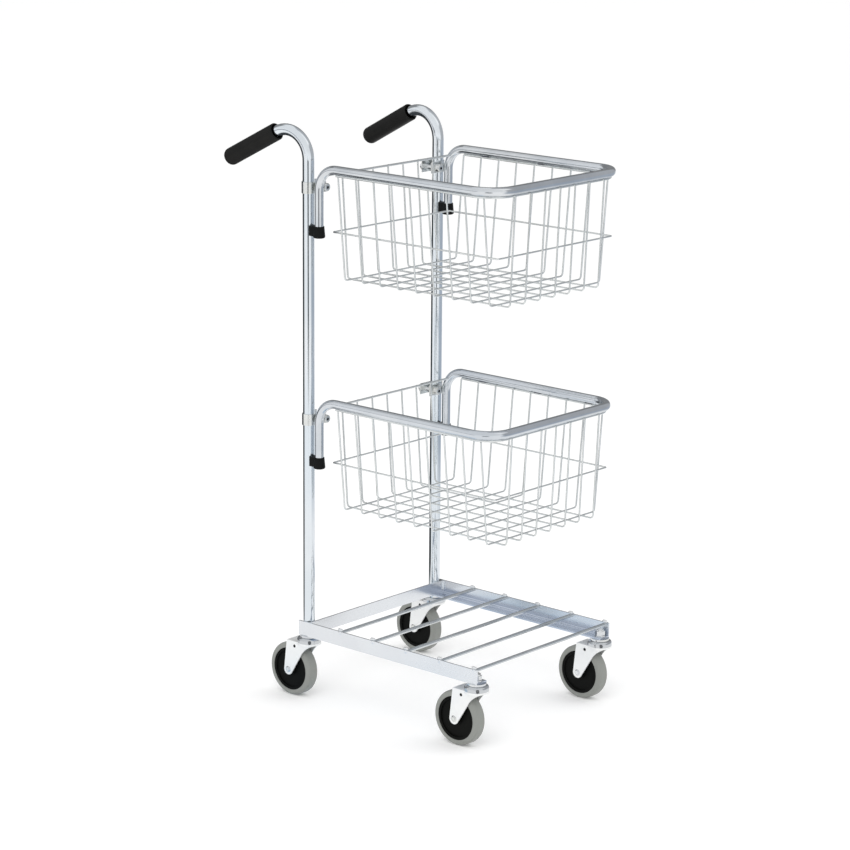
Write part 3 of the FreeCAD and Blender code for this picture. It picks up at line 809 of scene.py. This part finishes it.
    def thread(self, name: str, radius: float, pitch: float, turns: int) -> Piece:
        """Model the ridge of a screw thread that climbs along Z.

        Args:
            name: The object's name.
            radius: Radius of the bare shank.
            pitch: Rise in one turn.
            turns: Number of turns.

        Returns:
            The ridge, from the origin upwards.
        """
        self.clear()
        bpy.ops.mesh.primitive_circle_add(
            vertices=3, radius=pitch * self.RIDGE, fill_type="NOTHING",
            location=(radius, 0, 0), rotation=(math.pi / 2, 0, 0),
        )
        self.open_mesh()
        bpy.ops.transform.rotate(value=math.pi / 2, orient_axis="Y", center_override=(radius, 0, 0))
        bpy.ops.object.mode_set(mode="OBJECT")
        screw = bpy.context.object.modifiers.new("thread", "SCREW")
        screw.axis = "Z"
        screw.angle = 2 * math.pi
        screw.screw_offset = pitch
        screw.iterations = turns
        screw.steps = screw.render_steps = self.RIDGE_STEPS
        bpy.ops.object.modifier_apply(modifier=screw.name)
        self.open_mesh()
        bpy.ops.mesh.fill_holes(sides=4)
        return self.close(name, self.SHARP)

    def set_out(self, name: str, pattern: Piece, places: Iterable[Matrix]) -> Piece:
        """Copy a pattern to each place, join the copies in one object and drop the pattern.

        Args:
            name: The joined object's name.
            pattern: The object that was modelled once.
            places: Where each copy goes.

        Returns:
            The joined object.
        """
        copies = []
        for place in places:
            copy = bpy.data.objects.new(name, pattern.data.copy())
            copy.data.transform(place)
            if place.determinant() < 0:
                copy.data.flip_normals()
            bpy.context.scene.collection.objects.link(copy)
            copies.append(copy)
        self.clear()
        bpy.data.objects.remove(pattern)
        for copy in copies:
            copy.select_set(True)
        bpy.context.view_layer.objects.active = copies[0]
        if len(copies) > 1:
            bpy.ops.object.join()
        copies[0].name = name
        return copies[0]


def spot(point: Iterable[float], axis: Iterable[float] = UPWARD, start: float = 0.0) -> Matrix:
    """Place a pattern that was modelled along Z.

    Args:
        point: Where its origin goes.
        axis: Where its Z axis points.
        start: Turn about its own Z axis first, in degrees.

    Returns:
        The placement matrix.
    """
    turn = Vector(UPWARD).rotation_difference(Vector(axis)).to_matrix().to_4x4()
    return Matrix.Translation(Vector(point)) @ turn @ Matrix.Rotation(math.radians(start), 4, "Z")


def mirrored(right: Matrix) -> list[Matrix]:
    """Return a place on the right and its mirror image on the left."""
    return [right, MIRROR_X @ right]


def pair(across: float, y: float, z: float, axis: Point) -> list[Matrix]:
    """Return the places at one distance to the left and to the right of the middle, turned alike."""
    return [spot((sign * across, y, z), axis) for sign in (-1, 1)]


def steps_between(first: float, last: float, count: int) -> list[float]:
    """Return count even places from the first to the last."""
    return [first + (last - first) * index / (count - 1) for index in range(count)]


def middle(node: str) -> Point:
    """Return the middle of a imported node's box."""
    low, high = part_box(node)
    return tuple((first + last) / 2 for first, last in zip(low, high))


@dataclass
class Assembly:
    """A part of the trolley, with the bench and the finishes that it is made with."""

    bench: Bench
    shelf: FinishShelf

    def fit(
        self, name: str, pattern: Piece, places: Iterable[Matrix], body: str,
        slot: Slot, variant: Variant = Variant.PLAIN,
    ) -> None:
        """Set a pattern out as one new piece, finish it and let its body carry it."""
        self.shelf.hang(self.bench.set_out(name, pattern, places), body, slot, variant)


@dataclass
class BaseFrame(Assembly):
    """The angle rails, rear bar and deck rods, with their welds."""

    rod_count: int = 5
    lump_radius: float = 0.0027
    lump_length: float = 0.0100
    lump_steps: int = 8
    lump_rise: float = 0.0022
    lump_inset: float = 0.0032
    lump_back: float = 0.0025
    fill_radius: float = 0.0036
    fill_proud: float = 0.00012
    foot_bead: float = 0.0017
    foot_sink: float = 0.55
    foot_sweep: float = 205.0
    foot_start: float = 32.0
    foot_steps: int = 36
    foot_height: float = 0.01
    bar_bead: float = 0.0030
    bar_sink: float = 0.3
    bar_share: float = 0.8
    bar_middle: float = 0.58
    bar_steps: int = 14

    def rods(self) -> list[str]:
        """The names of the deck rods."""
        return ["deck_rod_%d" % number for number in range(1, self.rod_count + 1)]

    def build(self) -> None:
        """Dress the base and weld it together."""
        for side in Side:
            # the side rails carry painted shade and a painted highlight in their inner corner
            self.shelf.dress("base_rail_" + side.value, Slot.RAIL, Variant.PAINTED_CORNER_SHADE)
        self.shelf.dress("rear_bar", Slot.RAIL)
        for rod in self.rods():
            self.shelf.dress(rod, Slot.ROD)
        self.weld_rods()
        self.weld_bar()
        self.weld_feet()

    def weld_rods(self) -> None:
        """Lay a bright lump over each rod's end, and fill its notch flush with the rail's outer face."""
        rail_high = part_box("base_rail_right")[1]
        face, top = rail_high.x, rail_high.z
        size = (self.lump_length, self.lump_radius, self.lump_steps)
        lump = self.bench.straight_bead("lump", *size, ripple=0.0)
        fill = self.bench.spot_nugget("fill", self.fill_radius, 2 * self.fill_proud)
        lumps = []
        fills = []
        for rod in self.rods():
            _, y, z = middle(rod)
            over = (face - self.lump_inset, y + self.lump_back, top + self.lump_rise)
            lumps += mirrored(spot(over, REARWARD))
            fills += mirrored(spot((face, y, z), RIGHTWARD))
        self.fit("rod_welds", lump, lumps, "frame", Slot.ROD, Variant.BRIGHT)
        self.fit("rod_end_fills", fill, fills, "frame", Slot.RAIL)

    def weld_bar(self) -> None:
        """Run a bead down each end of the rear bar."""
        low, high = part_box("rear_bar")
        tall = high.z - low.z
        bead = self.bench.straight_bead("bar_bead", tall * self.bar_share, self.bar_bead, self.bar_steps)
        sink = self.bar_bead * self.bar_sink
        right = spot((high.x - sink, low.y - sink, low.z + tall * self.bar_middle))
        self.fit("rear_bar_welds", bead, mirrored(right), "frame", Slot.RAIL, Variant.BRIGHT)

    def weld_feet(self) -> None:
        """Run a bead round the open side of each post's foot."""
        bar_low, bar_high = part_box("rear_bar")
        radius = self.post_radius()
        ring = radius + self.foot_bead * self.foot_sink
        bead = self.bench.arc_bead("foot_bead", ring, self.foot_bead, self.foot_sweep, self.foot_steps)
        right = spot((bar_high.x - radius, bar_high.y + radius, bar_low.z), start=self.foot_start)
        # the beads are dark to paint the shade where each post meets the rail
        self.fit("post_foot_welds", bead, mirrored(right), "frame", Slot.RAIL, Variant.PAINTED_SHADE)

    def post_radius(self) -> float:
        """Half the width of a post, read from its foot.

        Returns:
            The radius.
        """
        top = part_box("post_right")[0].z + self.foot_height
        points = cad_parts["post_right"].data.vertices
        foot = [point.co.x for point in points if point.co.z < top]
        return (max(foot) - min(foot)) / 2


@dataclass
class Posts(Assembly):
    """The two bent posts with their grips."""

    def build(self) -> None:
        """Dress the posts and the grips."""
        for side in Side:
            self.shelf.dress("post_" + side.value, Slot.POST)
            self.shelf.dress("grip_" + side.value, Slot.GRIP)


@dataclass
class Basket(Assembly):
    """One basket: rim tube, wires and clamps, with the welds that join them."""

    level: Level
    cross_count: int = 9
    long_count: int = 7
    wire_radius: float = 0.0015
    nugget_radius: float = 0.0019
    nugget_height: float = 0.0021
    rim_bead: float = 0.0015
    rim_bead_length: float = 0.016
    rim_bead_steps: int = 12
    rim_bead_rise: float = 0.35
    rim_bead_sink: float = 0.2
    side_beads: tuple[float, ...] = (0.08, 0.5, 0.86)
    front_beads: tuple[float, ...] = (-0.09, 0.0, 0.09)
    corner: float = 0.062
    bolt_radius: float = 0.004
    thread_pitch: float = 0.00125
    socket_radius: float = 0.00286
    socket_depth: float = 0.0027
    # thickness of the dark sheet of painted shade in each bolt socket
    socket_shade_sheet: float = 0.0002
    socket_sides: int = 6

    def name(self, piece: str) -> str:
        """The full name of one of this basket's pieces."""
        return self.level.value + "_" + piece

    @property
    def body(self) -> str:
        """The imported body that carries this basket."""
        return self.name("basket")

    def box(self, piece: str) -> Box:
        """The corners of one of this basket's nodes."""
        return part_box(self.name(piece))

    def build(self) -> None:
        """Dress the basket and weld it together."""
        finishes = {
            Slot.RIM: ("rim_tube",),
            Slot.WIRE: ("rim_wire", "rear_rod", "cross_wires", "long_wires", "mid_ring"),
            Slot.CAP: ("end_cap_left", "end_cap_right"),
            Slot.STRAP: ("strap_left", "strap_right", "lugs"),
            Slot.FASTENER: ("clamp_bolts", "clamp_nuts"),
        }
        for slot, pieces in finishes.items():
            for piece in pieces:
                self.shelf.dress(self.name(piece), slot)
        self.weld_wires()
        self.weld_rim()
        self.cut_threads()
        self.paint_socket_shade()

    def weld_wires(self) -> None:
        """Set a spot weld on every crossing of the floor, the ring and the wire ends."""
        cross_low, cross_high = self.box("cross_wires")
        long_low, long_high = self.box("long_wires")
        ring_low, ring_high = self.box("mid_ring")
        rim_low, rim_high = self.box("rim_wire")
        rod_low, rod_high = self.box("rear_rod")
        wire = self.wire_radius
        rows = steps_between(cross_low.y + wire, cross_high.y - wire, self.cross_count)
        columns = steps_between(long_low.x + wire, long_high.x - wire, self.long_count)
        floor_z = long_low.z + 2 * wire
        ring_z = (ring_low.z + ring_high.z) / 2
        rim_z = (rim_low.z + rim_high.z) / 2
        rod_z = (rod_low.z + rod_high.z) / 2
        rim_inner = rim_high.x - (rim_high.z - rim_low.z)
        places = [spot((column, row, floor_z)) for row in rows for column in columns]
        for row in rows:
            places += [spot((x, row, ring_z), RIGHTWARD) for x in (ring_low.x, ring_high.x)]
        for row in rows[1:]:
            places += pair(rim_inner, row, rim_z, RIGHTWARD)
        for column in columns:
            places += [spot((column, y, ring_z), REARWARD) for y in (ring_low.y, ring_high.y)]
            places.append(spot((column, rim_low.y, rim_z), REARWARD))
            places.append(spot((column, rod_high.y, rod_z), REARWARD))
        nugget = self.bench.spot_nugget("nugget", self.nugget_radius, self.nugget_height)
        self.fit(self.name("spot_welds"), nugget, places, self.body, Slot.WIRE)

    def weld_rim(self) -> None:
        """Stitch the rim wire to the rim tube with short beads on its inner side."""
        low, high = self.box("rim_wire")
        thick = high.z - low.z
        sink = self.rim_bead * self.rim_bead_sink
        level = high.z + self.rim_bead * self.rim_bead_rise
        places = []
        for share in self.side_beads:
            y = max(low.y + (high.y - low.y) * share, low.y + self.corner)
            places += pair(high.x - thick + sink, y, level, REARWARD)
        for x in self.front_beads:
            places.append(spot((x, low.y + thick - sink, level), RIGHTWARD))
        size = (self.rim_bead_length, self.rim_bead, self.rim_bead_steps)
        bead = self.bench.straight_bead("rim_bead", *size)
        # the beads are dark to paint the shade in the gap between the rim wire and the tube
        self.fit(self.name("rim_welds"), bead, places, self.body, Slot.RIM, Variant.PAINTED_SHADE)

    def bolt_axis(self) -> tuple[float, float]:
        """Find the axes of the clamp bolts, whose heads are as wide as they are high.

        Returns:
            Their distance from the middle and their height.
        """
        low, high = self.box("clamp_bolts")
        return high.x - (high.z - low.z) / 2, (low.z + high.z) / 2

    def cut_threads(self) -> None:
        """Raise the thread on the tails of the clamp bolts."""
        nut_back = self.box("clamp_nuts")[1].y
        turns = int((self.box("clamp_bolts")[1].y - nut_back) / self.thread_pitch)
        ridge = self.bench.thread("thread", self.bolt_radius, self.thread_pitch, turns)
        x, z = self.bolt_axis()
        places = pair(x, nut_back, z, REARWARD)
        self.fit(self.name("bolt_threads"), ridge, places, self.body, Slot.FASTENER)

    def paint_socket_shade(self) -> None:
        """Line the socket of each clamp bolt with a dark sheet of painted shade."""
        size = (self.socket_radius, self.socket_depth, self.socket_shade_sheet, self.socket_sides)
        shade_lining = self.bench.dish("shade_lining", *size)
        x, z = self.bolt_axis()
        places = pair(x, self.box("clamp_bolts")[0].y + self.socket_shade_sheet, z, FORWARD)
        self.fit(self.name("bolt_sockets"), shade_lining, places, self.body, Slot.FASTENER, Variant.PAINTED_SHADE)


@dataclass
class Caster(Assembly):
    """One swivel caster with its wheel."""

    end: End
    side: Side
    stem_radius: float = 0.005
    thread_pitch: float = 0.0006
    tail: float = 0.0015
    rivet_head: float = 0.002
    rivet_radius: float = 0.0038
    rivet_depth: float = 0.0007
    rivet_wall: float = 0.0004
    rivet_proud: float = 0.0005
    rivet_sides: int = 20
    hole_radius: float = 0.00295
    hole_depth: float = 0.0018
    # thickness of the sheet of painted shade in a hole or notch
    hole_shade_sheet: float = 0.0002
    hole_sides: int = 16
    hole_back: float = 0.022
    hole_height: float = 0.0980
    notch_reach: float = 0.0217
    notch_height: float = 0.1115
    notch_angles: tuple[float, ...] = (45.0, 135.0, 225.0, 315.0)

    @property
    def key(self) -> str:
        """The end and side as they stand in the names."""
        return self.end.value + "_" + self.side.value

    @property
    def body(self) -> str:
        """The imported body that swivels."""
        return "swivel_" + self.key

    def name(self, piece: str) -> str:
        """The full name of one of this caster's pieces."""
        return "caster_%s_%s" % (self.key, piece)

    def build(self) -> None:
        """Dress the caster and add its thread, rivets and the dark linings of painted shade."""
        finishes = {
            "head": Slot.FASTENER,
            "fork": Slot.FORK,
            "axle": Slot.FASTENER,
            "wheel": Slot.WHEEL,
            "tyre": Slot.TYRE,
        }
        for piece, slot in finishes.items():
            self.shelf.dress(self.name(piece), slot)
        self.cut_thread()
        self.dish_rivets()
        self.shade_holes()
        self.shade_notches()

    def cut_thread(self) -> None:
        """Raise the thread on the tail of the stem."""
        turns = int(self.tail / self.thread_pitch)
        ridge = self.bench.thread("thread", self.stem_radius, self.thread_pitch, turns)
        x, y, _ = middle(self.name("head"))
        place = spot((x, y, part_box(self.name("head"))[1].z - self.tail))
        self.fit(self.name("thread"), ridge, [place], "frame", Slot.FASTENER)

    def outsides(self, beyond: float, y: float, z: float) -> list[Matrix]:
        """Find places on the outer sides of the fork's two legs, facing outwards.

        Args:
            beyond: How far past the axle's ends they lie.
            y: Their place along the trolley.
            z: Their height.

        Returns:
            The two places.
        """
        low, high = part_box(self.name("axle"))
        x, reach = (low.x + high.x) / 2, (high.x - low.x) / 2 + beyond
        return [spot((x + sign * reach, y, z), (sign, 0, 0)) for sign in (-1, 1)]

    def dish_rivets(self) -> None:
        """Raise the dished ends of the riveted axle."""
        size = (self.rivet_radius, self.rivet_depth, self.rivet_wall, self.rivet_sides)
        dish = self.bench.dish("rivet", *size)
        _, y, z = middle(self.name("axle"))
        places = self.outsides(self.rivet_proud, y, z)
        self.fit(self.name("rivets"), dish, places, self.body, Slot.FASTENER)

    def shade_lining(self) -> Piece:
        """Model the sheet of painted shade that lines a hole or a notch."""
        size = (self.hole_radius, self.hole_depth, self.hole_shade_sheet, self.hole_sides)
        return self.bench.dish("shade_lining", *size)

    def shade_holes(self) -> None:
        """Line the holes in the fork's legs with a dark sheet of painted shade."""
        y = middle(self.name("head"))[1] + self.hole_back
        places = self.outsides(-self.rivet_head - self.hole_shade_sheet, y, self.hole_height)
        self.fit(self.name("holes"), self.shade_lining(), places, self.body, Slot.FASTENER, Variant.PAINTED_SHADE)

    def shade_notches(self) -> None:
        """Line the notches in the fork's cup with a grey sheet of painted shade."""
        x, y, _ = middle(self.name("head"))
        centre = Vector((x, y, self.notch_height))
        places = []
        for angle in self.notch_angles:
            out = Vector((math.cos(math.radians(angle)), math.sin(math.radians(angle)), 0.0))
            places.append(spot(centre + out * self.notch_reach, out))
        self.fit(self.name("notches"), self.shade_lining(), places, self.body, Slot.FORK, Variant.PAINTED_SHADE)


@dataclass
class PhotoCamera:
    """The camera at the photograph's standpoint."""

    target: Point = (0.09540, 0.096604, 0.47570)
    distance: float = 5.54938
    azimuth: float = -48.51
    elevation: float = 13.75
    roll: float = 0.42
    lens: float = 126.09
    sensor: float = 36.0
    shift: tuple[float, float] = (0.0075, -0.00184)

    def axes(self) -> tuple[Vector, Vector, Vector]:
        """The camera's right, up and backward axes.

        Returns:
            The three unit vectors.
        """
        azimuth, elevation, roll = map(math.radians, (self.azimuth, self.elevation, self.roll))
        back = Vector((
            math.sin(azimuth) * math.cos(elevation),
            -math.cos(azimuth) * math.cos(elevation),
            math.sin(elevation),
        ))
        right = Vector((math.cos(azimuth), math.sin(azimuth), 0))
        up = back.cross(right)
        return (
            right * math.cos(roll) + up * math.sin(roll),
            up * math.cos(roll) - right * math.sin(roll),
            back,
        )

    def build(self) -> None:
        """Set the camera up and make it the scene's own."""
        lens = bpy.data.cameras.new("photo_camera")
        lens.sensor_width = self.sensor
        lens.lens = self.lens
        lens.shift_x, lens.shift_y = self.shift
        lens.dof.use_dof = False
        camera = bpy.data.objects.new("photo_camera", lens)
        bpy.context.scene.collection.objects.link(camera)
        right, up, back = self.axes()
        turn = Matrix((right, up, back)).transposed().to_4x4()
        camera.matrix_world = Matrix.Translation(Vector(self.target) + back * self.distance) @ turn
        bpy.context.scene.camera = camera


@dataclass(frozen=True)
class Card:
    """A card or wall beside the set, or a patch of painted shade on the floor, that shows only in
    reflections.

    Its angle, half width and faded half width are degrees seen from the trolley. Its reach is where it
    begins and is full: a distance on the floor, or a height on the walls. A falling reach ends it there.
    """

    angle: float
    half: float
    fade: float
    colour: Colour
    reach: Span


FLOOR_CARDS = (
    # The first card is painted shade of the floor beside and under the trolley, as the metal sees it; the
    # second, white, ends it.
    Card(-70.0, 28.0, 48.0, (0.56, 0.69, 0.82, 1.0), (0.08, 0.18)),
    Card(-78.0, 80.0, 100.0, WHITE, (0.32, 0.46)),
    Card(100.0, 34.0, 62.0, (0.44, 0.48, 0.54, 1.0), (0.7, 1.8)),
    Card(-136.0, 34.0, 46.0, (0.045, 0.05, 0.055, 1.0), (0.45, 0.7)),
    Card(-8.0, 7.0, 15.0, (0.07, 0.08, 0.09, 1.0), (2.3, 3.1)),
)
WALL_CARDS = (
    Card(118.0, 52.0, 68.0, (0.46, 0.47, 0.49, 1.0), (1.2, 1.1)),
    Card(-160.0, 42.0, 58.0, (0.25, 0.255, 0.26, 1.0), (0.82, 0.66)),
    Card(-83.0, 24.0, 36.0, (0.40, 0.41, 0.44, 1.0), (0.10, 0.05)),
    Card(72.0, 14.0, 28.0, WHITE, (0.5, 0.64)),
)


@dataclass
class Studio:
    """A plain white floor under even light, with the cards and the grey ceiling that the metal reflects."""

    eye_azimuth: float = PhotoCamera.azimuth
    floor_radius: float = 14.0
    floor_sides: int = 96
    floor_lip: float = 0.25
    floor_paint: Colour = (0.97, 0.97, 0.97, 1.0)
    floor_glow: float = 0.08
    sky: Colour = (0.95, 0.95, 0.95, 1.0)
    ceiling: Colour = (0.84, 0.85, 0.86, 1.0)
    wall: Colour = (0.95, 0.96, 0.97, 1.0)
    ceiling_from: Span = (0.08, 0.3)
    lamp_size: float = 2.2
    lamp_target: Point = (0.0, 0.0, 0.5)
    key_power: float = 26.0
    key_place: Point = (-2.6, -1.4, 3.2)
    fill_power: float = 12.0
    fill_place: Point = (2.4, -2.2, 2.4)

    def build(self) -> None:
        """Set up floor, world and lamps."""
        bpy.context.scene.view_settings.view_transform = "Standard"
        self.build_floor()
        self.build_world()
        self.hang_lamp("key_softbox", self.key_place, self.key_power)
        self.hang_lamp("fill_softbox", self.fill_place, self.fill_power)

    def towards(self, angle: float) -> Point:
        """The level unit vector at an angle in degrees to the right of the photograph's standpoint."""
        bearing = math.radians(self.eye_azimuth + angle)
        return (math.sin(bearing), -math.cos(bearing), 0.0)

    def sector(self, sheet: NodeSheet, unit: Socket, card: Card) -> Socket:
        """One inside a card's sector seen from the trolley, and zero outside it.

        Args:
            sheet: The sheet that is drawn on.
            unit: A unit vector in the floor's plane.
            card: The card.

        Returns:
            The mask socket.
        """
        aligned = sheet.vector("DOT_PRODUCT", unit, self.towards(card.angle))["Value"]
        return sheet.spread(aligned, (math.cos(math.radians(card.fade)), math.cos(math.radians(card.half))))

    @staticmethod
    def level_unit(sheet: NodeSheet, place: Socket) -> tuple[Socket, Socket]:
        """Flatten a vector onto the floor.

        Args:
            sheet: The sheet that is drawn on.
            place: The vector socket.

        Returns:
            The unit vector in the floor's plane and the length before it was made a unit.
        """
        flat = sheet.vector("MULTIPLY", place, (1.0, 1.0, 0.0))["Vector"]
        return sheet.vector("NORMALIZE", flat)["Vector"], sheet.vector("LENGTH", flat)["Value"]

    def stand(
        self, sheet: NodeSheet, cards: Iterable[Card], unit: Socket, measure: Socket, behind: object
    ) -> Socket:
        """Stand cards in front of a colour.

        Args:
            sheet: The sheet that is drawn on.
            cards: The cards, the nearest last.
            unit: A unit vector in the floor's plane.
            measure: What the cards' reach is measured in.
            behind: The colour, or its socket, behind the cards.

        Returns:
            The colour socket.
        """
        for card in cards:
            shown = sheet.spread(measure, tuple(sorted(card.reach)))
            if card.reach[0] > card.reach[1]:
                shown = sheet.math("SUBTRACT", 1.0, shown)
            shown = sheet.math("MULTIPLY", self.sector(sheet, unit, card), shown)
            behind = sheet.blend(shown, behind, card.colour)
        return behind

    @staticmethod
    def sight(sheet: NodeSheet) -> tuple[Socket, Socket]:
        """Tell the rays apart.

        Args:
            sheet: The sheet that is drawn on.

        Returns:
            One for rays that show the set itself, and one for mirror rays.
        """
        path = sheet.add("ShaderNodeLightPath").outputs
        seen = sheet.math("MAXIMUM", path["Is Camera Ray"], path["Is Transmission Ray"])
        return seen, path["Is Glossy Ray"]

    def build_floor(self) -> None:
        """Make the floor: a wide disc with its rim turned down."""
        Bench.clear()
        bpy.ops.mesh.primitive_circle_add(
            vertices=self.floor_sides, radius=self.floor_radius, fill_type="NGON"
        )
        Bench.open_mesh()
        bpy.ops.mesh.inset(thickness=self.floor_lip)
        rim = self.floor_radius - self.floor_lip / 2
        Bench.pick(Pick.POINTS, lambda point: point.length > rim)
        bpy.ops.transform.translate(value=(0, 0, -self.floor_lip))
        bpy.ops.object.mode_set(mode="OBJECT")
        floor = bpy.context.object
        floor.name = "studio_floor"
        floor.data.materials.append(self.floor_material())

    def floor_material(self) -> Material:
        """White paint that keeps shadows; the metal sees it white, with the cards that stand on it and a
        patch of painted shade beside the trolley.

        Returns:
            The new material.
        """
        made, sheet, spare = open_material("studio_floor")
        made.node_tree.nodes.remove(spare)
        seen, mirror = self.sight(sheet)
        paint = sheet.add("ShaderNodeBsdfDiffuse", {"Color": self.floor_paint})
        glow = sheet.math("MULTIPLY", seen, self.floor_glow)
        lit = sheet.add("ShaderNodeEmission", {"Color": WHITE, "Strength": glow})
        plain = sheet.add("ShaderNodeAddShader", {0: paint.outputs[0], 1: lit.outputs[0]})
        unit, distance = self.level_unit(sheet, sheet.add("ShaderNodeTexCoord").outputs["Object"])
        colour = self.stand(sheet, FLOOR_CARDS, unit, distance, WHITE)
        cards = sheet.add("ShaderNodeEmission", {"Color": colour, "Strength": 1.0})
        both = sheet.add("ShaderNodeMixShader", {0: mirror, 1: plain.outputs[0], 2: cards.outputs[0]})
        sheet.link(both.outputs[0], made.node_tree.nodes["Material Output"].inputs["Surface"])
        return made

    def build_world(self) -> None:
        """Light the room evenly, show it white, and let the metal see walls, cards and a grey ceiling."""
        world = bpy.data.worlds.new("studio_room")
        world.use_nodes = True
        bpy.context.scene.world = world
        sheet = NodeSheet(world.node_tree)
        seen, mirror = self.sight(sheet)
        place = sheet.add("ShaderNodeTexCoord").outputs["Generated"]
        unit, _ = self.level_unit(sheet, place)
        height = sheet.split(place)[2]
        room = sheet.blend(sheet.spread(height, self.ceiling_from), self.wall, self.ceiling)
        cards = self.stand(sheet, WALL_CARDS, unit, height, room)
        plain = sheet.blend(seen, self.sky, WHITE)
        background = world.node_tree.nodes["Background"]
        sheet.link(sheet.blend(mirror, plain, cards), background.inputs["Color"])

    def hang_lamp(self, name: str, place: Point, power: float) -> None:
        """Hang a square soft box that faces the trolley.

        Args:
            name: The lamp's name.
            place: Where it hangs.
            power: Its power in watts.
        """
        lamp = bpy.data.lights.new(name, "AREA")
        lamp.energy = power
        lamp.size = self.lamp_size
        holder = bpy.data.objects.new(name, lamp)
        bpy.context.scene.collection.objects.link(holder)
        holder.visible_glossy = False
        holder.location = place
        aim = Vector(self.lamp_target) - Vector(place)
        holder.rotation_euler = aim.to_track_quat("-Z", "Y").to_euler()


def main() -> None:
    """Build every sub-assembly, the studio and the camera."""
    logging.basicConfig(level=logging.INFO, format="%(name)s: %(message)s")
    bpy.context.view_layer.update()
    bench = Bench()
    shelf = FinishShelf()
    BaseFrame(bench, shelf).build()
    Posts(bench, shelf).build()
    for level in Level:
        Basket(bench, shelf, level).build()
    for end in End:
        for side in Side:
            Caster(bench, shelf, end, side).build()
    shelf.dress("caster_nuts", Slot.FASTENER)
    Studio().build()
    PhotoCamera().build()
    Bench.clear()


if __name__ == "__main__":
    main()
